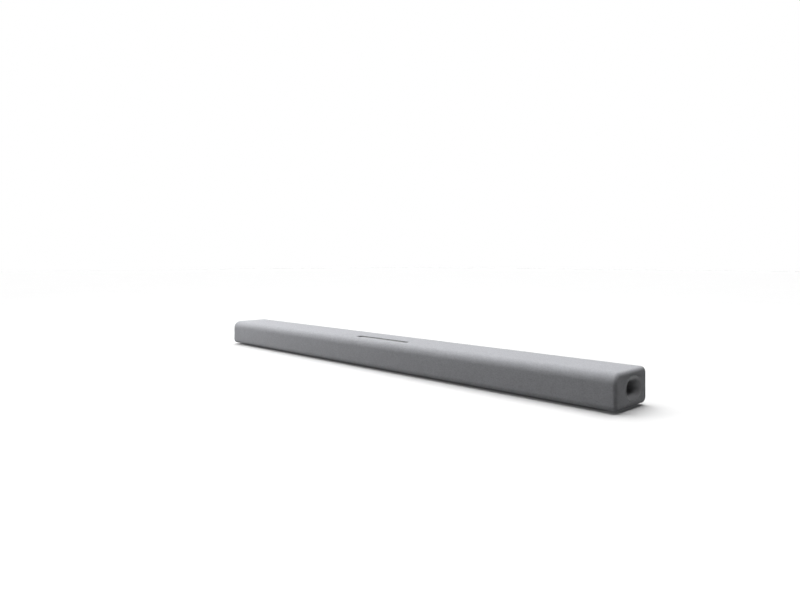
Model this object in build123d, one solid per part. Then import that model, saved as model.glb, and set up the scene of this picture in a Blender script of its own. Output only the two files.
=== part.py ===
from build123d import *
import os

# A soundbar wrapped in cloth, in millimetres. X runs along the bar, Y from front to rear and Z up.
# The origin lies under the middle of the bar, on the surface that it stands on.

# Overall size, standing on its feet
LENGTH = 1080.0
DEPTH = 100.0
HEIGHT = 60.0
FOOT_GAP = 3.5

# Rounding of the body: along its four long edges, and round both ends
FRONT_TOP_ROUND = 17.0
FRONT_BOTTOM_ROUND = 9.0
REAR_TOP_ROUND = 10.0
REAR_BOTTOM_ROUND = 10.0
END_ROUND = 6.0

# Cloth, the slotted shell under it, and the seam where the rear cover begins
FABRIC = 0.8
GRILLE_WALL = 2.0
GRILLE_END = 90.0
SEAM_INSET = 9.0
SEAM_REVEAL = 0.6

# Clearances: between pieces that slide into each other, and between a lens or socket and its hole
SEAT = 0.4
SNUG = 0.15

# Cabinet behind the cloth, with the baffle that carries the drivers
CABINET_WALL = 2.5
BAFFLE_SETBACK = 14.0
BAFFLE_WALL = 4.0
CABINET_END_GAP = 16.0
PARTITION_X = 150.0
GASKET = 1.0
BOSS_RADIUS = 3.5
BOSS_LENGTH = 25.0
WEB = 2.0

# Rear cover: wall, plug recesses, vents, screws and wall-hanging keyholes
COVER_WALL = 2.8
POCKET_WALL = 2.0
POCKET_ROUND = 3.0
JACK_POCKET_X = -60.0
JACK_POCKET_LENGTH = 104.0
JACK_POCKET_HEIGHT = 30.0
JACK_POCKET_DEPTH = 26.0
POWER_POCKET_X = 85.0
POWER_POCKET_LENGTH = 44.0
POWER_POCKET_HEIGHT = 26.0
POWER_POCKET_DEPTH = 20.0
VENT_X = -131.0
VENT_COUNT = 5
VENT_PITCH = 6.0
VENT_WIDTH = 3.0
VENT_HEIGHT = 24.0
COVER_SCREW_FROM_END = 95.0
COVER_SCREW_FROM_PARTITION = 45.0
COVER_SCREW_RISE = 14.25
SCREW_HEAD_RADIUS = 2.8
SCREW_HEAD = 2.0
SCREW_SHANK_RADIUS = 1.4
SCREW_LENGTH = 10.0
SCREW_SINK = 1.2
KEYHOLE_SPACING = 660.0
KEYHOLE_CUP_GAP = 1.7
KEYHOLE_HEAD_RADIUS = 4.75
KEYHOLE_SLOT_WIDTH = 5.0
KEYHOLE_SLOT_RISE = 10.0
KEYHOLE_CUP_DEPTH = 10.0
KEYHOLE_CUP_MARGIN = 2.5
KEYHOLE_CUP_WALL = 1.6

# Underside: plate, its vents, and rubber feet let into it
BASE_FRONT_INSET = 18.0
BASE_END_INSET = 22.0
BASE_ROUND = 10.0
BASE_VENT_COUNT = 12
BASE_VENT_PITCH = 14.0
BASE_VENT_WIDTH = 4.0
BASE_VENT_LENGTH = 26.0
FOOT_LENGTH = 60.0
FOOT_WIDTH = 14.0
FOOT_SINK = 1.2
FOOT_CHAMFER = 0.8
FOOT_FROM_END = 90.0
FOOT_FROM_FRONT = 28.0
FOOT_FROM_REAR = 22.0

# Bass ports: a racetrack throat that flares out to a rim level with the cloth
PORT_Y = 5.0
THROAT_LENGTH = 32.0
THROAT_HEIGHT = 18.0
PORT_FLARE = 8.0
PORT_FLARE_DEPTH = 14.0
PORT_RIM = 1.5
PORT_TUBE_WALL = 2.0
PORT_DEPTH = 85.0
PORT_FLANGE = 3.0
PORT_FLANGE_WALL = 1.8

# Slots of the shell in front of each driver
SLOT_WIDTH = 6.0
SLOT_HEIGHT = 28.0
SLOT_PITCH = 10.0
WOOFER_SLOTS = 8
TWEETER_SLOTS = 3

# Oval woofers, sized from the height inside the shell inwards
WOOFER_FROM_END = 140.0
WOOFER_PITCH = 110.0
FLANGE_LENGTH = 96.0
FLANGE_GAP = 2.05
FLANGE_ROUND = 6.0
FLANGE_WALL = 2.5
FLANGE_SCREW_INSET = 5.0
BASKET_LENGTH = 86.0
BASKET_MARGIN = 8.0
BASKET_BACK_LENGTH = 56.0
BASKET_TAPER = 4.0
BASKET_DEPTH = 20.0
BASKET_WALL = 1.5
BASKET_BACK_WALL = 2.0
BASKET_WINDOW = 12.0
SPIDER_LEDGE = 4.0
SPIDER_MARGIN = 1.0
SPIDER_RIM = 2.4
SPIDER_CLOTH = 0.5
SPIDER_WAVE = 0.8
MOTOR_MARGIN = 1.0
MAGNET_STEP = 0.5
MAGNET_CLEARANCE = 2.9
MOTOR_PLATE = 3.0
MAGNET_DEPTH = 8.0
POLE_GAP = 1.6
COIL_MARGIN = 0.9
COIL_WALL = 1.0
COIL_REACH = 4.0
COIL_GAP = 1.0
CONE_DEPTH = 9.0
CONE_WALL = 1.2
CONE_NECK_STRETCH = 5.0
CONE_SLOPE = 5.0
DUST_CAP_MARGIN = 1.1
DUST_CAP_RISE = 2.5
ROLL_RADIUS = 2.75
ROLL_WALL = 0.5
ROLL_LIP = 2.2

# Dome tweeters
TWEETER_FROM_END = 46.0
FACEPLATE_MARGIN = 0.5
FACEPLATE_WALL = 3.0
FACEPLATE_RING = 9.5
FACEPLATE_FLARE = 2.4
FACEPLATE_SCREW_INSET = 3.5
TWEETER_MOTOR_MARGIN = 7.5
TWEETER_MOTOR_DEPTH = 14.0
TWEETER_COIL_MARGIN = 3.0
TWEETER_COIL_WALL = 0.5
TWEETER_COIL_GAP = 0.6
TWEETER_COIL_REACH = 3.0
TWEETER_COIL_SLOT = 6.0
DOME_RISE = 3.2
DOME_WALL = 0.4
DOME_EDGE_GAP = 0.3
DOME_LIFT = 0.5
TWEETER_ROLL_LIP = 1.0

# Control strip on the top
STRIP_X = 15.0
STRIP_FROM_ROUND = 0.5
STRIP_LENGTH = 150.0
STRIP_WIDTH = 18.0
STRIP_ROUND = 8.0
STRIP_WALL = 1.2
STRIP_SINK = 0.3
STRIP_RECESS = 2.4
STRIP_FLOOR = 2.0
STRIP_FLANGE = 2.0
BUTTONS = ("power", "source", "volume_down", "volume_up", "pairing")
BUTTON_PITCHES = 6
BUTTON_SPACE = 4.0
BUTTON_WIDTH = 11.0
BUTTON_ROUND = 3.0
BUTTON_PROUD = 0.9
BUTTON_EDGE = 0.5
BUTTON_TRAVEL = 0.6
BUTTON_SKIRT = 1.2
BUTTON_SKIRT_WALL = 1.0
BUTTON_STEM_RADIUS = 2.0
BUTTON_STEM = 1.8
SWITCH_SIZE = 6.0
SWITCH_BODY = 2.0
SWITCH_PLUNGER_RADIUS = 1.75
SWITCH_PLUNGER = 0.6
SWITCH_GAP = 0.1
BOARD = 1.6
CONTROL_BOARD_LENGTH = 138.0
CONTROL_BOARD_WIDTH = 15.0
POST_RADIUS = 2.0
POST_FROM_END = 9.0
POST_SIDE = 5.0
LENS_LENGTH = 8.4
LENS_WIDTH = 2.4
LENS_FROM_TIP = 7.0
LENS_PROUD = 0.3
LENS_LIP = 1.0

# Electronics between the two partitions
BOARD_LIFT = 13.2
BOARD_FRONT = 8.0
BOARD_REAR_GAP = 1.0
MAIN_BOARD_X = (-137.0, -6.0)
POWER_BOARD_X = (12.0, 137.0)
STANDOFF_INSET = 6.0
STANDOFF_RADIUS = 3.0
CHIP = 1.5
AMPLIFIER_CHIP = 14.0
HEAT_SINK_LENGTH = 50.0
HEAT_SINK_WIDTH = 18.0
HEAT_SINK_BASE = 3.0
HEAT_SINK_HEIGHT = 18.0
HEAT_SINK_FINS = 8
HEAT_SINK_FIN = 1.4
HEAT_SINK_X = -105.0
HEAT_SINK_Y = -12.0
MODULE_X = -30.0
MODULE_Y = -12.0
MODULE_LENGTH = 24.0
MODULE_WIDTH = 16.0
MODULE_CAN = 3.0
SOCKET_DEPTH = 12.0
SOCKET_WALL = 0.8
HDMI_SOCKET = (-94.0, 15.0, 6.0)
OPTICAL_SOCKET = (-70.0, 10.0, 10.0)
USB_SOCKET = (-48.0, 14.0, 7.0)
AUX_SOCKET = (-25.0, 9.0, 9.0)
AUX_BORE = 1.8
INLET_LENGTH = 24.0
INLET_HEIGHT = 15.0
INLET_DEPTH = 18.0
INLET_MOUTH_LENGTH = 17.0
INLET_MOUTH_HEIGHT = 9.0
INLET_MOUTH_DEPTH = 12.0
INLET_PIN_RADIUS = 1.2
INLET_PIN_SPACING = 8.0
TRANSFORMER_X = 45.0
TRANSFORMER_Y = 0.0
TRANSFORMER_LENGTH = 30.0
TRANSFORMER_WIDTH = 26.0
TRANSFORMER_HEIGHT = 19.0
TRANSFORMER_COIL = 4.0
CAPACITOR_X = 105.0
CAPACITOR_Y = -14.0
CAPACITOR_PITCH = 16.0
CAPACITOR_RADIUS = 6.3
CAPACITOR_HEIGHT = 20.0

# Planes and faces worked out from the values above
FRONT = -DEPTH / 2
REAR = DEPTH / 2
END = LENGTH / 2
MID = (FOOT_GAP + HEIGHT) / 2
SHELL = FABRIC + GRILLE_WALL
GRILLE_JOIN = END - GRILLE_END
SEAM = REAR - SEAM_INSET
COVER_EDGE = SEAM + SEAM_REVEAL
COVER_INSIDE = REAR - COVER_WALL
CABINET_INSET = SHELL + SEAT
CABINET_BORE = CABINET_INSET + CABINET_WALL
CABINET_END = END - CABINET_END_GAP
CABINET_REAR = COVER_EDGE - GASKET
BAFFLE = FRONT + BAFFLE_SETBACK
BAFFLE_BACK = BAFFLE + BAFFLE_WALL
CAVITY_LOW = FOOT_GAP + CABINET_BORE
CAVITY_HIGH = HEIGHT - CABINET_BORE
JACK_FLOOR = REAR - JACK_POCKET_DEPTH
POWER_FLOOR = REAR - POWER_POCKET_DEPTH
COVER_SCREW_X = (END - COVER_SCREW_FROM_END, PARTITION_X + COVER_SCREW_FROM_PARTITION)
COVER_SCREW_Z = (MID - COVER_SCREW_RISE, MID + COVER_SCREW_RISE)
KEYHOLE_CUP_RADIUS = KEYHOLE_HEAD_RADIUS + KEYHOLE_CUP_MARGIN
KEYHOLE_CUP_TOP = CAVITY_HIGH - KEYHOLE_CUP_GAP - KEYHOLE_CUP_WALL
KEYHOLE_Z = KEYHOLE_CUP_TOP - KEYHOLE_CUP_RADIUS - KEYHOLE_SLOT_RISE
BASE_X = END - BASE_END_INSET
BASE_FRONT = FRONT + BASE_FRONT_INSET
BASE_TOP = FOOT_GAP + CABINET_INSET
WOOFER_X = (END - WOOFER_FROM_END, END - WOOFER_FROM_END - WOOFER_PITCH)
TWEETER_X = END - TWEETER_FROM_END
FLANGE_WIDTH = HEIGHT - FOOT_GAP - 2 * (CABINET_INSET + FLANGE_GAP)
BASKET_WIDTH = FLANGE_WIDTH - BASKET_MARGIN
BASKET_BACK_WIDTH = BASKET_WIDTH - BASKET_TAPER
MOUTH_LENGTH = BASKET_LENGTH - 2 * BASKET_WALL
MOUTH_WIDTH = BASKET_WIDTH - 2 * BASKET_WALL
CONE_LENGTH = MOUTH_LENGTH - 4 * ROLL_RADIUS
CONE_WIDTH = MOUTH_WIDTH - 4 * ROLL_RADIUS
CONE_NECK_WIDTH = CONE_WIDTH - CONE_SLOPE
CONE_NECK_LENGTH = CONE_NECK_WIDTH + CONE_NECK_STRETCH
COIL_RADIUS = CONE_NECK_WIDTH / 2 - COIL_MARGIN
GAP_RADIUS = COIL_RADIUS + COIL_GAP
POLE_RADIUS = COIL_RADIUS - POLE_GAP
DUST_CAP_RADIUS = COIL_RADIUS - DUST_CAP_MARGIN
MOTOR_RADIUS = BASKET_BACK_WIDTH / 2 - MOTOR_MARGIN
MAGNET_RADIUS = MOTOR_RADIUS - MAGNET_STEP
MAGNET_BORE = COIL_RADIUS + MAGNET_CLEARANCE
SPIDER_RADIUS = MOTOR_RADIUS - SPIDER_MARGIN
FACEPLATE_RADIUS = FLANGE_WIDTH / 2 - FACEPLATE_MARGIN
FACEPLATE_BORE = FACEPLATE_RADIUS - FACEPLATE_RING
FACEPLATE_SCREW_RADIUS = FACEPLATE_RADIUS - FACEPLATE_SCREW_INSET
TWEETER_MOTOR_RADIUS = FACEPLATE_RADIUS - TWEETER_MOTOR_MARGIN
TWEETER_COIL_RADIUS = FACEPLATE_BORE - TWEETER_COIL_MARGIN
BUTTON_PITCH = STRIP_LENGTH / BUTTON_PITCHES
BUTTON_LENGTH = BUTTON_PITCH - BUTTON_SPACE
STRIP_Y = FRONT + FRONT_TOP_ROUND + STRIP_FROM_ROUND + STRIP_FLANGE + STRIP_WIDTH / 2
STRIP_TOP = HEIGHT - STRIP_SINK
FLOOR_TOP = HEIGHT - STRIP_RECESS
FLOOR_UNDER = FLOOR_TOP - STRIP_FLOOR
BUTTON_TOP = FLOOR_TOP + BUTTON_PROUD
SKIRT_TOP = FLOOR_UNDER - SEAT
SKIRT_UNDER = SKIRT_TOP - BUTTON_SKIRT_WALL
STEM_UNDER = SKIRT_UNDER - BUTTON_STEM
PLUNGER_TOP = STEM_UNDER - BUTTON_TRAVEL - SWITCH_GAP
CONTROL_BOARD_TOP = PLUNGER_TOP - SWITCH_PLUNGER - SWITCH_BODY
CONTROL_BOARD_UNDER = CONTROL_BOARD_TOP - BOARD
BOARD_UNDER = CAVITY_LOW + BOARD_LIFT
BOARD_TOP = BOARD_UNDER + BOARD
BOARD_FRONT_Y = BAFFLE_BACK + BOARD_FRONT
BOARD_REAR_Y = JACK_FLOOR - POCKET_WALL - BOARD_REAR_GAP
SIDES = {"left": -1, "right": 1}


def block(x, y, z):
    """Block between a low and a high plane on each axis."""
    size = [high - low for low, high in (x, y, z)]
    middle = [(high + low) / 2 for low, high in (x, y, z)]
    return Pos(*middle) * Box(*size)


def facing_front(x, y, z):
    """Plane that looks out of the front of the bar, with its own X along the bar."""
    return Plane((x, y, z), x_dir=(1, 0, 0), z_dir=(0, -1, 0))


def repeated(plane, places, shape):
    """Copies of a flat shape at places on a plane."""
    return Sketch() + [plane * place * shape for place in places]


def upright(x, y, z, radius, height):
    """Post that stands on a point."""
    return Pos(x, y, z) * Cylinder(radius, height, align=(Align.CENTER, Align.CENTER, Align.MIN))


def lengthwise(x, y, z, radius, depth):
    """Round bar that runs towards the rear from a point."""
    return extrude(facing_front(x, y, z) * Circle(radius), -depth)


def cap(plane, radius, rise):
    """Solid spherical cap that stands on a plane."""
    ball = (radius**2 + rise**2) / (2 * rise)
    column = extrude(plane * Circle(ball), rise)
    return column & (plane.offset(rise - ball) * Sphere(ball))


def section(inset):
    """Cross-section of the body, drawn in from its outer face by an inset."""
    corners = [
        (FRONT + inset, FOOT_GAP + inset),
        (REAR - inset, FOOT_GAP + inset),
        (REAR - inset, HEIGHT - inset),
        (FRONT + inset, HEIGHT - inset),
    ]
    rounds = (FRONT_BOTTOM_ROUND, REAR_BOTTOM_ROUND, REAR_TOP_ROUND, FRONT_TOP_ROUND)
    outline = FilletPolyline(corners, radius=[r - inset for r in rounds], close=True)
    return Plane.YZ * make_face(outline)


def wrapped(inset):
    """Whole body with its rounded ends, drawn in from its outer face by an inset."""
    bar = extrude(section(inset), END - inset, both=True)
    return fillet(bar.faces().filter_by(Axis.X).edges(), END_ROUND - inset)


def run(inset, half, y_low, y_high):
    """Length of the body's section between two planes across its depth."""
    bar = extrude(section(inset), half, both=True)
    return bar & block((-END, END), (y_low, y_high), (0, HEIGHT))


def strip_outline(grow, z):
    """Outline of the control strip, grown all round, at a height."""
    shape = RectangleRounded(
        STRIP_LENGTH + 2 * grow, STRIP_WIDTH + 2 * grow, STRIP_ROUND + grow
    )
    return Pos(STRIP_X, STRIP_Y, z) * shape


def port_outline(side, grow, x):
    """Outline of a port's throat, grown all round, on a plane across the bar."""
    plane = Plane((side * x, PORT_Y, MID), x_dir=(0, 1, 0), z_dir=(side, 0, 0))
    return plane * SlotOverall(THROAT_LENGTH + 2 * grow, THROAT_HEIGHT + 2 * grow)


def base_outline(grow, z):
    """Outline of the underside plate, grown at the front and at both ends."""
    half = BASE_X + grow
    front = BASE_FRONT - grow
    outline = FilletPolyline(
        [(-half, SEAM), (-half, front), (half, front), (half, SEAM)],
        radius=[BASE_ROUND + grow] * 2,
    )
    edge = Line((half, SEAM), (-half, SEAM))
    return Pos(0, 0, z) * make_face(outline.edges() + edge.edges())


def wrap_layer(outer, inner):
    """Layer of the wrapping, open at the rear, under the base, at the strip and at the ports."""
    layer = wrapped(outer) - wrapped(inner)
    layer -= block((-END, END), (SEAM, REAR), (0, HEIGHT))
    layer -= extrude(base_outline(SEAT, 0), BASE_TOP)
    layer -= extrude(strip_outline(SEAT, FLOOR_UNDER), HEIGHT - FLOOR_UNDER)
    for side in SIDES.values():
        mouth = port_outline(side, PORT_FLARE + PORT_RIM + SEAT, END)
        layer -= extrude(mouth, -CABINET_INSET)
    return layer


def fabric_cover():
    """Cloth stretched over the shell and turned in under the front edge."""
    return wrap_layer(0, FABRIC)


def slot_row(x, count):
    """Row of upright slots through the front of the shell."""
    plane = facing_front(x, FRONT + CABINET_INSET, MID)
    places = GridLocations(SLOT_PITCH, 0, count, 1)
    return extrude(repeated(plane, places, SlotOverall(SLOT_HEIGHT, SLOT_WIDTH, 90)), CABINET_INSET)


def grille_shell():
    """Long middle of the moulded shell under the cloth, slotted in front of each woofer."""
    middle = block((-GRILLE_JOIN, GRILLE_JOIN), (FRONT, REAR), (0, HEIGHT))
    shell = wrap_layer(FABRIC, SHELL) & middle
    for side in SIDES.values():
        for x in WOOFER_X:
            shell -= slot_row(side * x, WOOFER_SLOTS)
    return shell


def grille_end(side):
    """End of the shell that meets the middle, slotted in front of a tweeter and open at the port."""
    beyond = block(sorted((side * GRILLE_JOIN, side * END)), (FRONT, REAR), (0, HEIGHT))
    return (wrap_layer(FABRIC, SHELL) & beyond) - slot_row(side * TWEETER_X, TWEETER_SLOTS)


def control_well(clearance):
    """Space that the control strip and its board take inside the cabinet."""
    half_length = STRIP_LENGTH / 2 + STRIP_FLANGE + clearance
    half_width = STRIP_WIDTH / 2 + STRIP_FLANGE + clearance
    return block(
        (STRIP_X - half_length, STRIP_X + half_length),
        (STRIP_Y - half_width, STRIP_Y + half_width),
        (CONTROL_BOARD_UNDER - clearance, HEIGHT),
    )


def standoffs():
    """Posts under the corners of the main board and the power board."""
    posts = Part()
    for low, high in (MAIN_BOARD_X, POWER_BOARD_X):
        for x in (low + STANDOFF_INSET, high - STANDOFF_INSET):
            for y in (BOARD_FRONT_Y + STANDOFF_INSET, BOARD_REAR_Y - STANDOFF_INSET):
                posts += upright(x, y, CAVITY_LOW, STANDOFF_RADIUS, BOARD_LIFT)
    return posts


def cover_screw_places():
    """Places of the screws that hold the rear cover, along the bar and upwards."""
    return [(side * x, z) for side in SIDES.values() for x in COVER_SCREW_X for z in COVER_SCREW_Z]


def screw_bosses():
    """Bosses that take the rear cover's screws, each webbed to the nearer wall."""
    bosses = Part()
    start = CABINET_REAR - BOSS_LENGTH
    for x, z in cover_screw_places():
        wall = CAVITY_LOW if z < MID else CAVITY_HIGH
        low, high = sorted((wall, z))
        bosses += lengthwise(x, start, z, BOSS_RADIUS, BOSS_LENGTH)
        bosses += block((x - WEB / 2, x + WEB / 2), (start, CABINET_REAR), (low, high))
    for x, z in cover_screw_places():
        bosses -= lengthwise(x, start, z, SCREW_SHANK_RADIUS + SNUG, BOSS_LENGTH)
    return bosses


def base_vents(low, high):
    """Row of vents under the electronics, between two heights."""
    vent = block(
        (-BASE_VENT_WIDTH / 2, BASE_VENT_WIDTH / 2),
        (-BASE_VENT_LENGTH / 2, BASE_VENT_LENGTH / 2),
        (low, high),
    )
    return [place * vent for place in GridLocations(BASE_VENT_PITCH, 0, BASE_VENT_COUNT, 1)]


def woofer_screw_places():
    """Places of a woofer's four screws, from its middle."""
    return GridLocations(
        FLANGE_LENGTH - 2 * FLANGE_SCREW_INSET, FLANGE_WIDTH - 2 * FLANGE_SCREW_INSET, 2, 2
    )


def tweeter_screw_places():
    """Places of a tweeter's screws, from its middle."""
    return GridLocations(2 * FACEPLATE_SCREW_RADIUS, 0, 2, 1)


def cabinet():
    """Box behind the cloth: baffle in front, chambers at both sides, electronics in the middle."""
    box = run(CABINET_INSET, CABINET_END, BAFFLE, CABINET_REAR)
    for low, high in (
        (-CABINET_END + CABINET_WALL, -PARTITION_X - CABINET_WALL / 2),
        (-PARTITION_X + CABINET_WALL / 2, PARTITION_X - CABINET_WALL / 2),
        (PARTITION_X + CABINET_WALL / 2, CABINET_END - CABINET_WALL),
    ):
        room = run(CABINET_BORE, END, BAFFLE_BACK, REAR)
        box -= room & block((low, high), (FRONT, REAR), (0, HEIGHT))
    box += standoffs()
    box += screw_bosses()
    box -= control_well(SEAT)
    box -= base_vents(BASE_TOP, CAVITY_LOW)
    pilot = Circle(SCREW_SHANK_RADIUS + SNUG)
    for side in SIDES.values():
        for x in WOOFER_X:
            plane = facing_front(side * x, BAFFLE, MID)
            mouth = SlotOverall(BASKET_LENGTH + 2 * SEAT, BASKET_WIDTH + 2 * SEAT)
            box -= extrude(plane * mouth, -BAFFLE_WALL)
            box -= extrude(repeated(plane, woofer_screw_places(), pilot), -BAFFLE_WALL)
        plane = facing_front(side * TWEETER_X, BAFFLE, MID)
        box -= extrude(plane * Circle(TWEETER_MOTOR_RADIUS + SEAT), -BAFFLE_WALL)
        box -= extrude(repeated(plane, tweeter_screw_places(), pilot), -BAFFLE_WALL)
        tube = port_outline(side, PORT_TUBE_WALL + SEAT, CABINET_END)
        box -= extrude(tube, -CABINET_WALL)
    return box


def cabinet_gasket():
    """Foam between the cabinet and the rear cover, round the rim and along both partitions."""
    rim = run(CABINET_INSET, CABINET_END, CABINET_REAR, COVER_EDGE)
    room = run(CABINET_BORE, CABINET_END - CABINET_WALL, CABINET_REAR, COVER_EDGE)
    for side in SIDES.values():
        half = CABINET_WALL / 2
        middle = side * PARTITION_X
        room -= block((middle - half, middle + half), (FRONT, REAR), (0, HEIGHT))
    return rim - room


def pocket_outline(x, length, height, grow, y):
    """Outline of a plug recess in the rear cover, grown all round."""
    shape = RectangleRounded(length + 2 * grow, height + 2 * grow, POCKET_ROUND + grow)
    return facing_front(x, y, MID) * shape


def keyhole(side):
    """Opening of a keyhole: a round entry with a narrow slot above it."""
    plane = facing_front(side * KEYHOLE_SPACING / 2, COVER_INSIDE, KEYHOLE_Z)
    slot = Pos(0, KEYHOLE_SLOT_RISE / 2) * Rectangle(KEYHOLE_SLOT_WIDTH, KEYHOLE_SLOT_RISE)
    end = Pos(0, KEYHOLE_SLOT_RISE) * Circle(KEYHOLE_SLOT_WIDTH / 2)
    return extrude(plane * (Circle(KEYHOLE_HEAD_RADIUS) + slot + end), -COVER_WALL)


def keyhole_cup(side, wall):
    """Closed cup behind a keyhole, with room for the screw's head."""
    width = 2 * (KEYHOLE_CUP_RADIUS + wall)
    middle = KEYHOLE_Z + KEYHOLE_SLOT_RISE / 2
    plane = facing_front(side * KEYHOLE_SPACING / 2, COVER_INSIDE, middle)
    outline = SlotOverall(KEYHOLE_SLOT_RISE + width, width, 90)
    return extrude(plane * outline, KEYHOLE_CUP_DEPTH + wall)


def socket_hole(place, grow, y_low, y_high):
    """Room of one rear socket that stands on the main board."""
    x, length, height = place
    half = length / 2 + grow
    z_range = (BOARD_TOP - grow, BOARD_TOP + height + grow)
    return block((x - half, x + half), (y_low, y_high), z_range)


def inlet_room(grow, y_low, y_high):
    """Room of the mains inlet that stands on the power board."""
    half = INLET_LENGTH / 2 + grow
    return block(
        (POWER_POCKET_X - half, POWER_POCKET_X + half),
        (y_low, y_high),
        (BOARD_TOP - grow, BOARD_TOP + INLET_HEIGHT + grow),
    )


def rear_cover():
    """Rounded rear housing with plug recesses, vents, keyholes and screw bosses."""
    behind = block((-END, END), (COVER_EDGE, REAR), (0, HEIGHT))
    cover = (wrapped(0) - wrapped(COVER_WALL)) & behind
    inside = block(
        (-CABINET_END + CABINET_WALL, CABINET_END - CABINET_WALL),
        (COVER_EDGE, COVER_INSIDE),
        (CAVITY_LOW, CAVITY_HIGH),
    )
    cover += run(COVER_WALL / 2, CABINET_END, COVER_EDGE, REAR) - inside
    half = CABINET_WALL / 2
    for side in SIDES.values():
        x_range = (side * PARTITION_X - half, side * PARTITION_X + half)
        cover += block(x_range, (COVER_EDGE, COVER_INSIDE), (CAVITY_LOW, CAVITY_HIGH))
        cover += keyhole_cup(side, KEYHOLE_CUP_WALL) - keyhole_cup(side, 0)
    pockets = (
        (JACK_POCKET_X, JACK_POCKET_LENGTH, JACK_POCKET_HEIGHT, JACK_POCKET_DEPTH, JACK_FLOOR),
        (POWER_POCKET_X, POWER_POCKET_LENGTH, POWER_POCKET_HEIGHT, POWER_POCKET_DEPTH, POWER_FLOOR),
    )
    for x, length, height, depth, floor in pockets:
        outside = pocket_outline(x, length, height, POCKET_WALL, floor - POCKET_WALL)
        cover += extrude(outside, COVER_WALL - depth - POCKET_WALL)
        cover -= extrude(pocket_outline(x, length, height, 0, floor), -depth)
    for x, z in cover_screw_places():
        cover += lengthwise(x, CABINET_REAR, z, BOSS_RADIUS, COVER_INSIDE - CABINET_REAR)
    for x, z in cover_screw_places():
        cover -= lengthwise(x, CABINET_REAR, z, SCREW_SHANK_RADIUS + SNUG, REAR - CABINET_REAR)
        head = REAR - SCREW_SINK - SCREW_HEAD
        cover -= lengthwise(x, head, z, SCREW_HEAD_RADIUS + SEAT, REAR - head)
    for side in SIDES.values():
        cover -= keyhole(side)
    vent_plane = facing_front(VENT_X, COVER_INSIDE, MID)
    vent_places = GridLocations(VENT_PITCH, 0, VENT_COUNT, 1)
    vents = repeated(vent_plane, vent_places, SlotOverall(VENT_HEIGHT, VENT_WIDTH, 90))
    cover -= extrude(vents, -COVER_WALL)
    for place in (HDMI_SOCKET, OPTICAL_SOCKET, USB_SOCKET, AUX_SOCKET):
        cover -= socket_hole(place, SNUG, JACK_FLOOR - POCKET_WALL, JACK_FLOOR)
    cover -= inlet_room(SNUG, POWER_FLOOR - POCKET_WALL, POWER_FLOOR)
    return cover


def screw(plane):
    """Screw whose head seats on a plane and whose shank runs back from it."""
    head = extrude(plane * Circle(SCREW_HEAD_RADIUS), SCREW_HEAD)
    shank = extrude(plane * Circle(SCREW_SHANK_RADIUS), -SCREW_LENGTH)
    return head + shank


def cover_screws():
    """Screws of the rear cover, sunk below its rear face."""
    head = REAR - SCREW_SINK - SCREW_HEAD
    return [
        screw(Plane((x, head, z), x_dir=(-1, 0, 0), z_dir=(0, 1, 0)))
        for x, z in cover_screw_places()
    ]


def foot_places():
    """Places of the four feet."""
    return [
        (side * (END - FOOT_FROM_END), y)
        for side in SIDES.values()
        for y in (FRONT + FOOT_FROM_FRONT, REAR - FOOT_FROM_REAR)
    ]


def base_plate():
    """Dark plate that closes the underside, with pockets for the feet."""
    plate = extrude(base_outline(0, FOOT_GAP), BASE_TOP - FOOT_GAP)
    for x, y in foot_places():
        pocket = Pos(x, y, FOOT_GAP) * SlotOverall(FOOT_LENGTH + 2 * SEAT, FOOT_WIDTH + 2 * SEAT)
        plate -= extrude(pocket, FOOT_SINK)
    plate -= base_vents(FOOT_GAP, BASE_TOP)
    return plate


def rubber_feet():
    """Four long rubber feet, let into the base plate."""
    feet = []
    for x, y in foot_places():
        foot = extrude(Pos(x, y) * SlotOverall(FOOT_LENGTH, FOOT_WIDTH), FOOT_GAP + FOOT_SINK)
        tread = foot.faces().sort_by(Axis.Z)[0]
        feet.append(chamfer(tread.edges(), FOOT_CHAMFER))
    return feet


def bass_port(side):
    """Flared racetrack port: a bell mouth at the rim, and a tube that runs into the chamber."""
    flange_face = SHELL
    flange_back = SHELL + PORT_FLANGE_WALL
    rim = PORT_FLARE + PORT_RIM
    bell = EllipticalCenterArc(
        (PORT_FLARE_DEPTH, PORT_FLARE), PORT_FLARE_DEPTH, PORT_FLARE, start_angle=180, arc_size=90
    )
    walls = Polyline(
        bell @ 0,
        (0, rim),
        (flange_face, rim),
        (flange_face, rim + PORT_FLANGE),
        (flange_back, rim + PORT_FLANGE),
        (flange_back, PORT_TUBE_WALL + PORT_FLARE / 2),
        (PORT_FLARE_DEPTH, PORT_TUBE_WALL),
        (PORT_DEPTH, PORT_TUBE_WALL),
        (PORT_DEPTH, 0),
        bell @ 1,
    )
    profile = make_face(bell.edges() + walls.edges())
    throat = port_outline(side, 0, END).wire()
    start = throat @ 0
    tangent = throat % 0
    outward = (start - Vector(side * END, PORT_Y, MID)).normalized()
    outward = outward - tangent * outward.dot(tangent)
    inward = Vector(-side, 0, 0)
    plane = Plane(start, x_dir=inward, z_dir=inward.cross(outward))
    return sweep(plane * profile, path=throat)


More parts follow.
